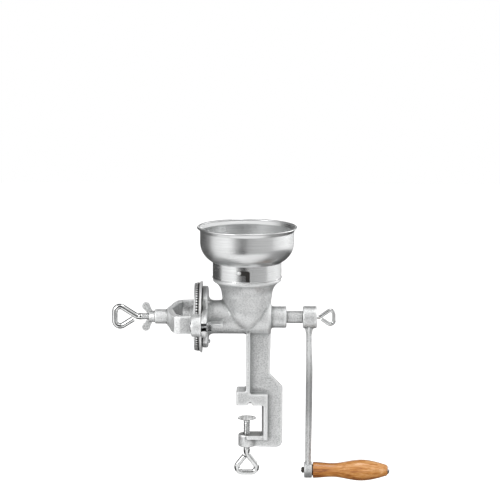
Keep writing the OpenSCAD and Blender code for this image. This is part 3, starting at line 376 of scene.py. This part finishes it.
def bright_steel(name, colour, roughness, lay=(1, 1, 1), dulled=0.35):
    """Bright drawn or pressed steel with a clouding of its gloss and fine scratches, which are
    stretched along its lay and drawn coarser than real ones, so that they show."""
    wear_size, mark_size, mark_depth = 5 * mm, 0.8 * mm, 0.03 * mm
    material = bpy.data.materials.new(name)
    tree = emptied(material)
    place = add(tree, "TexCoord").outputs["Object"]
    place = add(tree, "Mapping", {"Vector": place, "Scale": lay})
    wear = add(tree, "TexNoise", {"Vector": place, "Scale": 1 / wear_size, "Detail": 5.0})
    marks = add(tree, "TexNoise", {"Vector": place, "Scale": 1 / mark_size, "Detail": 2.0})
    wear_and_edge_light = add(tree, "MapRange", (wear, 0.35, 0.7, 0.0, dulled))
    clouded = {0: wear_and_edge_light, 6: linear(colour), 7: linear("#8C8C8A")}
    tint = add(tree, "Mix", clouded, data_type="RGBA").outputs[2]
    gloss = add(tree, "MapRange", (wear, 0.3, 0.7, roughness - 0.04, roughness + 0.08))
    bump = add(tree, "Bump", {"Height": marks, "Distance": mark_depth, "Strength": 0.35})
    shader = add(tree, "BsdfPrincipled", {
        "Base Color": tint, "Metallic": 1.0, "Roughness": gloss, "Normal": bump,
    })
    add(tree, "OutputMaterial", {"Surface": shader})
    return material


def dress(node, material):
    """Gives a node of the frame its material."""
    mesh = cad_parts[node].data
    mesh.materials.clear()
    mesh.materials.append(material)


# Drawn steel, worn smooth by use: a plain light grey with a soft gloss.
pin_steel = bright_steel("drawn pin steel", "#C6C7C8", 0.28)
dress("drive_pin", pin_steel)
dress("thrust_ball", pin_steel)

# The burr plates: hard white iron, cast with radial grooves and held by countersunk screws.
# The fixed plate is bevelled to a bright rim, and the turning one shows its grooves as teeth.
face_x, face_r, bevel_w, bevel_t = -62.8 * mm, 44.5 * mm, 2.7 * mm, 2.8 * mm
turning_rim_r, groove_depth, groove_count = 45 * mm, 1.4 * mm, 72
sunk_face_r = face_r + groove_depth * (bevel_w / bevel_t)
edge_margin, edge_fade = 0.1 * mm, 0.2 * mm
land_end, groove_start, gap_start, gap_end = 0.12 * mm, 0.3 * mm, 0.7 * mm, 1.2 * mm
notch_shade_len, notch_shade_share, notch_shade_fade = 4.4 * mm, 0.47, 0.05


def painted_groove_shade(tree, place, skin):
    """Paints shade into the grooves of both plates, the gap at their rims and the ends of the
    turning plate's grooves, and dulls the backs, which are left as cast. The painted shade at
    the grooves' ends is drawn longer than the grooves are deep, so that it shows."""
    parts = add(tree, "SeparateXYZ", (place,)).outputs
    depth = add(tree, "Math", (parts["X"], -face_x), operation="ADD")
    rise = add(tree, "Math", (parts["Z"], -axis_h), operation="ADD")
    level = add(tree, "CombineXYZ", (parts["Y"], rise))
    radius = add(tree, "VectorMath", (level,), operation="LENGTH").outputs["Value"]
    bevel = add(tree, "MapRange", (depth, 0, groove_depth, face_r, sunk_face_r))
    turning = add(tree, "Math", (depth, 0.0), operation="LESS_THAN")
    rim = add(tree, "Mix", {0: turning, 2: bevel, 3: turning_rim_r}, data_type="FLOAT")
    below = add(tree, "Math", (rim, radius), operation="SUBTRACT")
    inside = add(tree, "MapRange", (below, edge_margin, edge_margin + edge_fade))
    sunk = add(tree, "Math", (depth,), operation="ABSOLUTE")
    groove = add(tree, "MapRange", (sunk, land_end, groove_start))
    bottom = add(tree, "MapRange", (sunk, groove_depth, groove_depth + edge_fade, 1.0, 0.0))
    groove = add(tree, "Math", (groove, bottom), operation="MULTIPLY")
    shade_mask = add(tree, "Math", (inside, groove), operation="MULTIPLY")
    rim_start = face_r + edge_margin
    edge = add(tree, "MapRange", (radius, rim_start, rim_start + edge_fade))
    gap = add(tree, "MapRange", (sunk, gap_start, gap_end, 1.0, 0.0))
    gap = add(tree, "Math", (edge, gap), operation="MULTIPLY")
    shade_mask = add(tree, "Math", (shade_mask, gap), operation="MAXIMUM")
    # Notches at the turning plate's rim, one for each groove, are painted dark: painted shade.
    bearing = add(tree, "Math", (parts["Y"], rise), operation="ARCTAN2")
    grooves = add(tree, "Math", (bearing, groove_count / (2 * math.pi)), operation="MULTIPLY")
    aside = add(tree, "Math", (grooves, 0.5), operation="PINGPONG")
    narrowing = add(tree, "MapRange", (sunk, 0, notch_shade_len, notch_shade_share, 0.0))
    notch_shade = add(tree, "Math", (narrowing, aside), operation="SUBTRACT")
    notch_shade = add(tree, "MapRange", (notch_shade, 0.0, notch_shade_fade))
    rim_start = turning_rim_r - 2 * edge_fade
    on_rim = add(tree, "MapRange", (radius, rim_start, rim_start + edge_fade))
    on_rim = add(tree, "Math", (on_rim, turning), operation="MULTIPLY")
    notch_shade = add(tree, "Math", (notch_shade, on_rim), operation="MULTIPLY")
    shade_mask = add(tree, "Math", (shade_mask, notch_shade), operation="MAXIMUM")
    normal = add(tree, "NewGeometry").outputs["Normal"]
    backwards = add(tree, "SeparateXYZ", (normal,)).outputs["X"]
    backwards = add(tree, "Math", (backwards,), operation="ABSOLUTE")
    back_start = groove_depth + 2 * edge_fade
    behind = add(tree, "MapRange", (sunk, back_start, back_start + edge_fade, 0.0, 0.85))
    backwards = add(tree, "MapRange", (backwards, 0.8, 0.95))
    unground = add(tree, "Math", (behind, backwards), operation="MULTIPLY")
    cast_back = {0: unground, 6: skin, 7: linear("#A6A7A7")}
    skin = add(tree, "Mix", cast_back, data_type="RGBA").outputs[2]
    # Grooves, the rim gap and the grooves' ends are painted near black: painted shade.
    shaded_grooves = {0: shade_mask, 6: skin, 7: linear("#1B1A19")}
    return add(tree, "Mix", shaded_grooves, data_type="RGBA").outputs[2]


# White iron, ground at the face: paler and smoother than the castings round it.
burr_tones = ("#F6F6F6", "#E6E6E6", "#C6C6C6")
burr_grit, burr_grain, burr_metal = 1.6 * mm, 0.15 * mm, 0.45
burr_iron = tinned_metal(
    "bright burr iron", burr_tones, 0.36, burr_grit, burr_grain, painted_groove_shade, burr_metal
)
dress("stationary_burr", burr_iron)
dress("rotating_burr", burr_iron)

# Tinned casting, rubbed dull by meal: a darker grey than the yoke round it.
carrier_tones = ("#E4E5E5", "#C2C3C3", "#8A8C8C")
carrier_iron = tinned_metal("tinned carrier casting", carrier_tones, 0.44)
carrier = cast_copy("burr_carrier_skin", "burr_carrier", 0.7 * mm, 2, 0.1 * mm)
fit_out(carrier, carrier_iron, "burr_disc", "carrier_iron", "burr_carrier")

# Zinc on turned steel: pale and half bright, so that its highlights are soft.
screw_steel = bright_steel("zinc plated fasteners", "#D8D9DA", 0.26)
dress("stationary_burr_screws", screw_steel)
dress("rotating_burr_screws", screw_steel)

# The yoke: the wide tinned bridge round the burr carrier, bolted to the ears of the body by
# two domed bolts with pressed washers and chamfered hexagon nuts. Its tin is a little paler
# than the body's.
yoke_tones = ("#F8F9F9", "#E4E5E5", "#B0B2B2")
tinned_yoke = tinned_metal("tinned yoke casting", yoke_tones, 0.44)
yoke = cast_copy("yoke_skin", "yoke", 0.9 * mm, 3, 0.14 * mm)
fit_out(yoke, tinned_yoke, "housing", "tinned_yoke", "yoke")


def lofted(name, rings, wrap=False, crease=35):
    """Mesh through rings of points. It wraps from the last ring to the first, or is capped."""
    rings = np.asarray(rings, float)
    rows, count = rings.shape[:2]
    last = rows if wrap else rows - 1
    faces = [
        (r * count + k, r * count + (k + 1) % count,
         (r + 1) % rows * count + (k + 1) % count, (r + 1) % rows * count + k)
        for r in range(last) for k in range(count)
    ]
    if not wrap:
        faces.append(tuple(reversed(range(count))))
        faces.append(tuple(range((rows - 1) * count, rows * count)))
    mesh = bpy.data.meshes.new(name)
    mesh.from_pydata(rings.reshape(-1, 3).tolist(), [], faces)
    mesh.shade_smooth()
    mesh.set_sharp_from_angle(angle=math.radians(crease))
    piece = bpy.data.objects.new(name, mesh)
    scene.collection.objects.link(piece)
    return piece


def turned(name, origin, along, outline, wrap=False, steps=96):
    """Piece of revolution. The outline holds (radius, distance along) points."""
    origin, along = Vector(origin), Vector(along)
    side = along.orthogonal().normalized()
    other = along.cross(side)
    rings = []
    for radius, distance in outline:
        centre = origin + along * distance
        rings.append([
            centre + side * radius * math.cos(a) + other * radius * math.sin(a)
            for a in (2 * math.pi * k / steps for k in range(steps))
        ])
    return lofted(name, rings, wrap)


def joined(name, pieces):
    """One piece made of several."""
    for piece in bpy.context.selected_objects:
        piece.select_set(False)
    for piece in pieces:
        piece.select_set(True)
    bpy.context.view_layer.objects.active = pieces[0]
    bpy.ops.object.join()
    pieces[0].name = name
    return pieces[0]


def washer(name, origin, along, radius, bore, thickness):
    """Pressed washer, whose corners are eased by short curves."""
    ease, steps = 0.25 * mm, 4
    corners = [(bore, 0), (radius, 0), (radius, thickness), (bore, thickness)]
    corners = [np.array(corner, float) for corner in corners]
    outline = []
    for i, corner in enumerate(corners):
        ends = []
        for leg in (corners[i - 1] - corner, corners[(i + 1) % len(corners)] - corner):
            length = np.linalg.norm(leg)
            ends.append(corner + leg / length * min(ease, 0.45 * length))
        for k in range(steps + 1):
            t = k / steps
            outline.append((1 - t) ** 2 * ends[0] + 2 * t * (1 - t) * corner + t ** 2 * ends[1])
    return turned(name, origin, along, outline, wrap=True)


def nut(name, origin, along, across, thickness, bore):
    """Hexagon nut with a corner at the top, chamfered at both faces and at both ends of its
    bore."""
    steps, chamfer, lead, flat_share = 96, math.radians(30), 0.5 * mm, 0.97
    origin, along = Vector(origin), Vector(along)
    upward = Vector((0, 0, 1))
    other = along.cross(upward)
    half, sixth = across / 2, math.pi / 3
    angles = [2 * math.pi * k / steps for k in range(steps)]
    hexagon = [half / math.cos((a % sixth) - sixth / 2) for a in angles]
    ease = [(h - half) * math.tan(chamfer) for h in hexagon]
    outline = [
        (half * flat_share, 0), (hexagon, ease), (hexagon, [thickness - e for e in ease]),
        (half * flat_share, thickness), (bore + lead, thickness), (bore, thickness - lead),
        (bore, lead), (bore + lead, 0),
    ]
    rings = []
    for radii, distances in outline:
        radii, distances = np.broadcast_to(radii, steps), np.broadcast_to(distances, steps)
        rings.append([
            origin + along * float(d) + (upward * math.cos(a) + other * math.sin(a)) * float(r)
            for a, r, d in zip(angles, radii, distances)
        ])
    return lofted(name, rings, wrap=True, crease=25)


thread_depth, thread_pitch = 0.55 * mm, 1.25 * mm


def rod(name, origin, along, side, corners, bend, knots, thread):
    """Rod swept along flat corners with round bends. Knots are (distance, radius) pairs, and a
    right-hand thread runs between two distances."""
    sides, bend_steps, thread_step, plain_step = 32, 12, thread_pitch / 8, 1.2 * mm
    corners = [np.array(c, float) for c in corners]
    stations = []
    start = corners[0]
    for i in range(1, len(corners)):
        heading = math.atan2(*(corners[i] - corners[i - 1])[::-1])
        unit = np.array((math.cos(heading), math.sin(heading)))
        turn = 0
        stop = corners[i]
        if i < len(corners) - 1:
            turn = math.atan2(*(corners[i + 1] - corners[i])[::-1]) - heading
            turn = (turn + math.pi) % (2 * math.pi) - math.pi
            stop = corners[i] - unit * bend * math.tan(abs(turn) / 2)
        length = np.linalg.norm(stop - start)
        count = math.ceil(length / (thread_step if i == 1 else plain_step))
        stations += [(start + (stop - start) * k / count, heading) for k in range(count)]
        if not turn:
            stations.append((stop, heading))
            continue
        hand = math.copysign(1, turn)
        centre = stop + hand * bend * np.array((-unit[1], unit[0]))
        for k in range(bend_steps + 1):
            a = heading + turn * k / bend_steps
            start = centre + hand * bend * np.array((math.sin(a), -math.cos(a)))
            if k < bend_steps:
                stations.append((start, a))
    places = np.array([p for p, _ in stations])
    headings = np.array([a for _, a in stations])
    reach = np.concatenate([[0], np.cumsum(np.linalg.norm(np.diff(places, axis=0), axis=1))])
    angles = 2 * math.pi * np.arange(sides) / sides
    radius = np.interp(reach, *zip(*knots))[:, None]
    wave = 0.5 - 0.5 * np.cos(2 * math.pi * reach[:, None] / thread_pitch - angles)
    run_in = np.clip((reach - thread[0]) / thread_pitch, 0, 1)
    run_out = np.clip((thread[1] - reach) / thread_pitch, 0, 1)
    radius = radius - thread_depth * (run_in * run_out)[:, None] * wave
    left = np.stack([-np.sin(headings), np.cos(headings)], 1)
    flat = places[:, None] + left[:, None] * (radius * np.cos(angles))[..., None]
    along, side = Vector(along), Vector(side)
    axes = np.array([along, side, along.cross(side)])
    outward = (radius * np.sin(angles))[..., None] * axes[2]
    return lofted(name, flat @ axes[:2] + outward + np.array(origin), crease=50)


x_axis, z_axis = (1, 0, 0), (0, 0, 1)
bolt_r, head_r, head_h = 3 * mm, 6.8 * mm, 3 * mm
bolt_sunk, bolt_tip, bolt_tip_share = 0.5 * mm, 0.5 * mm, 0.85
bolt_thread_len, bolt_thread_past = 12 * mm, 2 * mm
washer_r, nut_across, nut_bore_r = 6.5 * mm, 10 * mm, bolt_r - 0.3 * mm
dome_angles = np.radians(np.linspace(88, 0, 12))
dome = [(head_r * math.cos(a), head_h * (1 - math.sin(a))) for a in dome_angles]
low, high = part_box("yoke_bolts")
washer_low, washer_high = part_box("yoke_washers")
nut_low, nut_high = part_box("yoke_nuts")
shank_len = high.x - low.x - head_h
shank_knots = [(0, bolt_r), (shank_len, bolt_r), (shank_len + bolt_tip, bolt_r * bolt_tip_share)]
shank_thread = (shank_len - bolt_thread_len, shank_len + bolt_thread_past)
bolts, washers, nuts = [], [], []
for name, y in (("left", -(high.y - head_r)), ("right", high.y - head_r)):
    bolts.append(turned(
        name + "_bolt_head", (low.x, y, axis_h), x_axis, dome + [(bolt_r, head_h)]
    ))
    bolts.append(rod(
        name + "_bolt_shank", (low.x + head_h - bolt_sunk, y, axis_h), x_axis, z_axis,
        [(0, 0), (shank_len + bolt_sunk, 0)], 0, shank_knots, shank_thread,
    ))
    washers.append(washer(
        name + "_washer", (washer_low.x, y, axis_h), x_axis,
        washer_r, bolt_r, washer_high.x - washer_low.x,
    ))
    nuts.append(nut(
        name + "_nut", (nut_low.x, y, axis_h), x_axis,
        nut_across, nut_high.x - nut_low.x, nut_bore_r,
    ))
for node, pieces in (("yoke_bolts", bolts), ("yoke_washers", washers), ("yoke_nuts", nuts)):
    fit_out(joined(node + "_made", pieces), screw_steel, "housing", "fastener_steel", node)


# The adjusting screw: a plated rod, threaded up to its neck and bent into a triangular finger
# loop, whose cut end lies beside the neck. Its turned tip presses on the thrust ball.
def loop_corners(length, width, wire_r, bend):
    """Corners of the finger loop, from the end of the neck round to the cut end."""
    shoulder_share, cut_gap = 0.07, 0.3 * mm
    far, shoulder = length - wire_r, shoulder_share * length
    centre = (far - bend - shoulder, width / 2 - wire_r - bend)
    slope = math.atan2(centre[1], centre[0]) + math.asin(bend / math.hypot(*centre))
    half = (far - shoulder) * math.tan(slope)
    stop = (wire_r + cut_gap + wire_r * math.cos(2 * slope)) / math.sin(2 * slope)
    end = (shoulder + stop * math.cos(slope), -stop * math.sin(slope))
    return [(shoulder, 0), (far, half), (far, -half), end]


def finger_screw(name, origin, along, side, neck, length, width, wire_r, tip, thread):
    """Screw whose rod starts at its tip, runs straight along its neck and ends in its loop. The
    tip is a list of (distance, radius) knots."""
    bend_share, thinning_start, thinning_end = 0.21, neck - 1 * mm, neck + 2 * mm
    bend = bend_share * width
    corners = [(-neck, 0)] + loop_corners(length, width, wire_r, bend)
    beyond_the_end = 4 * (length + width)
    knots = tip + [(thinning_start, tip[-1][1]), (thinning_end, wire_r), (beyond_the_end, wire_r)]
    return rod(name, origin, along, side, corners, bend, knots, thread)


# Bright plate on drawn wire: nearly a mirror, with dark and light bands along its bends.
plated_wire = bright_steel("bright plated wire", "#ECEDED", 0.1)
low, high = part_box("adjusting_screw")
adjust_loop_len, adjust_loop_w, adjust_wire_r = 35.7 * mm, 33.4 * mm, 3.7 * mm
adjust_neck = high.x - low.x - adjust_loop_len
adjust_tip = [(0, 2.8 * mm), (0.5 * mm, 3.3 * mm), (2.4 * mm, 3.3 * mm), (3.2 * mm, 4.2 * mm)]
adjusting_screw = finger_screw(
    "adjusting_screw_rod", (low.x + adjust_loop_len, 0, axis_h), (-1, 0, 0), z_axis,
    adjust_neck, adjust_loop_len, adjust_loop_w, adjust_wire_r,
    adjust_tip, (4 * mm, adjust_neck - 3 * mm),
)
fit_out(adjusting_screw, plated_wire, "adjuster", "plated_wire", "adjusting_screw")

# The lock nut: a small wing nut, cast and tinned, which runs on the adjusting screw and is
# turned tight against the yoke's boss. Its sand is coarse for its size, so it looks mottled.
wing_tones, wing_grit = ("#F4F5F5", "#D8D9D9", "#8C8E8E"), 1.8 * mm
wing_casting = tinned_metal("cast wing nut", wing_tones, 0.42, wing_grit)
wing_nut = cast_copy("lock_wing_nut_skin", "lock_wing_nut", 0.5 * mm, 3, 0.12 * mm)
fit_out(wing_nut, wing_casting, "lock_nut", "wing_casting", "lock_wing_nut")

# The crank: one tinned casting with a round hub, a ridged tapering arm and a lower boss. A
# small thumb screw of plated wire holds its hub on the shaft's square end.
arm_shade_top, arm_shade_fade_top, arm_shade_fade_low, arm_shade_low = 30 * mm, 75 * mm, -50 * mm, 0
deepest_arm_shade, low_share = 0.62, 0.15


def arm_middle_shade(tree, place, skin):
    """Darkens the middle of the arm: painted shade."""
    height = add(tree, "SeparateXYZ", (place,)).outputs["Z"]
    upper = add(tree, "MapRange", (height, arm_shade_top, arm_shade_fade_top, 1.0, 0.0))
    lower = add(tree, "MapRange", (height, arm_shade_fade_low, arm_shade_low, low_share, 1.0))
    arm_shade_amount = add(tree, "Math", (upper, lower), operation="MULTIPLY")
    arm_shade_amount = add(tree, "Math", (arm_shade_amount, deepest_arm_shade), operation="MULTIPLY")
    arm_shaded = {0: arm_shade_amount, 6: skin, 7: linear("#6F7070")}
    return add(tree, "Mix", arm_shaded, data_type="RGBA").outputs[2]


# Tinned iron like the body's: pale at the hub and the boss, with painted shade along the middle of
# the arm.
crank_tones = ("#EFF0F0", "#D0D1D1", "#929494")
crank_iron = tinned_metal("tinned crank casting", crank_tones, 0.42, paint=arm_middle_shade)
crank = cast_copy("crank_arm_skin", "crank_arm", 0.8 * mm, 2, 0.12 * mm)
fit_out(crank, crank_iron, "rotor", "crank_iron", "crank_arm")
low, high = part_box("crank_screw")
crank_loop_len, crank_loop_w, crank_wire_r = 23.3 * mm, 23 * mm, 2.4 * mm
crank_neck = high.x - low.x - crank_loop_len
crank_tip = [(0, 2.1 * mm), (0.5 * mm, 2.6 * mm)]
crank_screw = finger_screw(
    "crank_screw_rod", (high.x - crank_loop_len, 0, axis_h), x_axis, z_axis,
    crank_neck, crank_loop_len, crank_loop_w, crank_wire_r,
    crank_tip, (0.5 * mm, crank_neck - 2 * mm),
)
fit_out(crank_screw, plated_wire, "crank_thumb_screw", "plated_wire", "crank_screw")

# The grip: turned wood, stained orange-brown and lacquered, which spins on a steel spindle with
# a domed head. A dark nut and a washer hold the spindle in the crank's lower boss.
low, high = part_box("wood_grip")
grip_axis = (low.x, 0, (low.z + high.z) / 2)
grip_len = high.x - low.x
start_r, waist_r, belly_r, end_r = 10.7 * mm, 9.2 * mm, (high.z - low.z) / 2, 6.8 * mm
waist_share, belly_share = 0.255, 0.64
grip_bore_r = 2.6 * mm


def grip_radius(share):
    """Radius of the grip at a share of its length, eased from start to waist, belly and end."""
    def eased(a, b, t):
        return a + (b - a) * (1 - math.cos(math.pi * t)) / 2
    if share < waist_share:
        return eased(start_r, waist_r, share / waist_share)
    if share < belly_share:
        return eased(waist_r, belly_r, (share - waist_share) / (belly_share - waist_share))
    tail = math.pi / 2 * (share - belly_share) / (1 - belly_share)
    return end_r + (belly_r - end_r) * math.cos(tail)


shares = np.linspace(0, 1, 100)
flank = [(grip_radius(t), t * grip_len) for t in shares[2:-1]]
start_edge = [(start_r - 1.2 * mm, 0), (start_r - 0.3 * mm, 0.4 * mm), (start_r, 1.3 * mm)]
end_edge = [(end_r - 0.9 * mm, grip_len)]
outline = [(grip_bore_r, grip_len), (grip_bore_r, 0)] + start_edge + flank + end_edge
grip = turned("wood_grip_turned", grip_axis, x_axis, outline, wrap=True, steps=128)

# Stained wood under lacquer: orange-brown fibres along the grip, darker pores drawn coarse
# enough to show, a painted shade that darkens it towards the crank's boss and leaves the far
# end paler, and a clear coat that gives a sharp highlight.
fibre_size, patch_size, pore_size = 2.6 * mm, 13 * mm, 0.7 * mm
fibre_lay, pore_lay = (0.1, 1.0, 1.0), (0.045, 1.0, 1.0)
wood_stops = (0.38, "#84480F"), (0.47, "#B5712E"), (0.56, "#CF8F49"), (0.67, "#E6B27A")
grip_wood = bpy.data.materials.new("lacquered turned wood")
tree = emptied(grip_wood)
place = add(tree, "TexCoord").outputs["Object"]
stretched = add(tree, "Mapping", {"Vector": place, "Scale": fibre_lay})
fibres = add(tree, "TexNoise", {
    "Vector": stretched, "Scale": 1 / fibre_size, "Detail": 6.0, "Roughness": 0.62,
    "Distortion": 0.5,
})
patches = add(tree, "TexNoise", {"Vector": stretched, "Scale": 1 / patch_size, "Detail": 2.0})
pores = add(tree, "Mapping", {"Vector": place, "Scale": pore_lay})
pores = add(tree, "TexNoise", {"Vector": pores, "Scale": 1 / pore_size, "Detail": 2.0})
tone = add(tree, "Mix", {0: 0.4, 2: fibres, 3: patches}, data_type="FLOAT")
# Darker towards the crank's boss and paler at the far end: painted shade.
along = add(tree, "SeparateXYZ", (place,)).outputs["X"]
shade_towards_boss = add(tree, "MapRange", (along, grip_axis[0], grip_axis[0] + grip_len, -0.045, 0.06))
tone = add(tree, "Math", (tone, shade_towards_boss), operation="ADD")
wood = add(tree, "ValToRGB", (tone,), wood_stops)
open_pores = add(tree, "MapRange", (pores, 0.62, 0.72, 0.0, 0.5))
stained = {0: open_pores, 6: wood, 7: linear("#8A4F26")}
wood = add(tree, "Mix", stained, data_type="RGBA").outputs[2]
bump = add(tree, "Bump", {"Height": fibres, "Distance": 0.1 * mm, "Strength": 0.3})
shader = add(tree, "BsdfPrincipled", {
    "Base Color": wood, "Roughness": 0.38, "Coat Weight": 1.0, "Coat Roughness": 0.14,
    "Normal": bump,
})
add(tree, "OutputMaterial", {"Surface": shader})
fit_out(grip, grip_wood, "grip", "grip_wood", "wood_grip")

low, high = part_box("grip_spindle")
spindle_r, cap_r, cap_h = 2.5 * mm, 5.2 * mm, 2.7 * mm
spindle_sunk, spindle_thread = 1 * mm, (0.4 * mm, 16 * mm)
spindle_bevel, spindle_tip_share = 0.5 * mm, 0.8
cap_angles = np.radians(np.linspace(0, 88, 12))
cap = [(cap_r * math.cos(a), cap_h * math.sin(a)) for a in cap_angles]
cap_x = high.x - cap_h
cap_head = turned("spindle_cap", (cap_x, 0, grip_axis[2]), x_axis, [(spindle_r, 0)] + cap)
spindle_len = cap_x - low.x
shank = rod(
    "spindle_shank", (low.x, 0, grip_axis[2]), x_axis, z_axis,
    [(0, 0), (spindle_len + spindle_sunk, 0)], 0,
    [(0, spindle_r * spindle_tip_share), (spindle_bevel, spindle_r), (spindle_len, spindle_r)],
    spindle_thread,
)
spindle = joined("grip_spindle_made", [cap_head, shank])
fit_out(spindle, screw_steel, "rotor", "fastener_steel", "grip_spindle")

# Blackened steel: a dark, warm grey with a faint sheen.
dark_steel = bright_steel("blackened nut steel", "#57544F", 0.4)
spindle_nut_across, spindle_nut_bore_r = 7 * mm, spindle_r - 0.2 * mm
spindle_washer_bore_r = 2.6 * mm
low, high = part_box("spindle_nut")
spindle_nut = nut(
    "spindle_nut_made", (low.x, 0, grip_axis[2]), x_axis,
    spindle_nut_across, high.x - low.x, spindle_nut_bore_r,
)
fit_out(spindle_nut, dark_steel, "rotor", "dark_steel", "spindle_nut")
low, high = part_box("spindle_washer")
spindle_washer = washer(
    "spindle_washer_made", (low.x, 0, grip_axis[2]), x_axis,
    (high.z - low.z) / 2, spindle_washer_bore_r, high.x - low.x,
)
fit_out(spindle_washer, dark_steel, "rotor", "dark_steel", "spindle_washer")


# The hopper: a bowl spun from sheet steel, with a rolled rim and a tail that slides into the
# collar, and the collar with two J slots that hook on the lugs of the spigot.
def spun_steel(name, colour, roughness):
    """Sheet steel spun on a lathe. Fine rings, drawn coarse enough to show, stretch each
    reflection into a soft band round the axis, and narrow gaps are painted dark, a painted shade."""
    ring_size, cloud_size, gap_reach, ring_depth = 0.9 * mm, 30 * mm, 6 * mm, 0.02 * mm
    ring_lay = (0.02, 0.02, 1.0)
    material = bpy.data.materials.new(name)
    tree = emptied(material)
    place = add(tree, "TexCoord").outputs["Object"]
    flat = add(tree, "Mapping", {"Vector": place, "Scale": ring_lay})
    rings = add(tree, "TexNoise", {"Vector": flat, "Scale": 1 / ring_size, "Detail": 3.0})
    cloud = add(tree, "TexNoise", {"Vector": place, "Scale": 1 / cloud_size, "Detail": 2.0})
    ringed = add(tree, "MapRange", (rings, 0.3, 0.75, 0.0, 0.35))
    spun = {0: ringed, 6: linear(colour), 7: linear("#A3A4A5")}
    tint = add(tree, "Mix", spun, data_type="RGBA").outputs[2]
    # Narrow gaps, found by ambient occlusion, are darkened: painted shade.
    near = add(tree, "AmbientOcclusion", {"Distance": gap_reach}, samples=8).outputs["AO"]
    painted_shade = add(tree, "MapRange", (near, 0.2, 0.7, 0.8, 0.0))
    dirt_and_shade = {0: painted_shade, 6: tint, 7: linear("#242322")}
    tint = add(tree, "Mix", dirt_and_shade, data_type="RGBA").outputs[2]
    gloss = add(tree, "Mix", {0: 0.5, 2: rings, 3: cloud}, data_type="FLOAT")
    gloss = add(tree, "MapRange", (gloss, 0.35, 0.65, roughness - 0.04, roughness + 0.06))
    bump = add(tree, "Bump", {"Height": rings, "Distance": ring_depth, "Strength": 0.4})
    shader = add(tree, "BsdfPrincipled", {
        "Base Color": tint, "Metallic": 1.0, "Roughness": gloss, "Anisotropic": 0.5,
        "Tangent": add(tree, "Tangent", direction_type="RADIAL", axis="Z"), "Normal": bump,
    })
    add(tree, "OutputMaterial", {"Surface": shader})
    return material


# The bowl is satin from the lathe, and the collar's sheet is a little glossier.
bowl_steel = spun_steel("spun bowl steel", "#ECEDED", 0.3)
collar_steel = spun_steel("collar sheet steel", "#E6E7E7", 0.22)
dress("hopper_bowl", bowl_steel)
dress("hopper_collar", collar_steel)

# The table clamp: a threaded rod bent into a finger loop, which runs in the lower arm and
# turns in a pressed steel pad.
low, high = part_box("clamp_screw")
clamp_loop_len, clamp_loop_w, clamp_wire_r = 31.6 * mm, 33 * mm, 3.6 * mm
clamp_neck = high.z - low.z - clamp_loop_len
clamp_tip = [
    (0, 2.2 * mm), (0.4 * mm, 2.6 * mm), (1.9 * mm, 2.6 * mm), (2.1 * mm, 3.8 * mm),
    (2.6 * mm, 4.2 * mm),
]
clamp_screw = finger_screw(
    "clamp_screw_rod", (0, 0, low.z + clamp_loop_len), (0, 0, -1), x_axis,
    clamp_neck, clamp_loop_len, clamp_loop_w, clamp_wire_r,
    clamp_tip, (3.4 * mm, clamp_neck - 4 * mm),
)
fit_out(clamp_screw, plated_wire, "clamp_rod", "plated_wire", "clamp_screw")

# Pressed steel, rubbed by many table tops: its gloss is clouded all over and scratched one way.
pad_lay, pad_dulled = (1.2, 0.2, 1), 1.0
pad_steel = bright_steel("pad steel worn by tables", "#E6E7E7", 0.3, pad_lay, pad_dulled)
dress("clamp_pad", pad_steel)
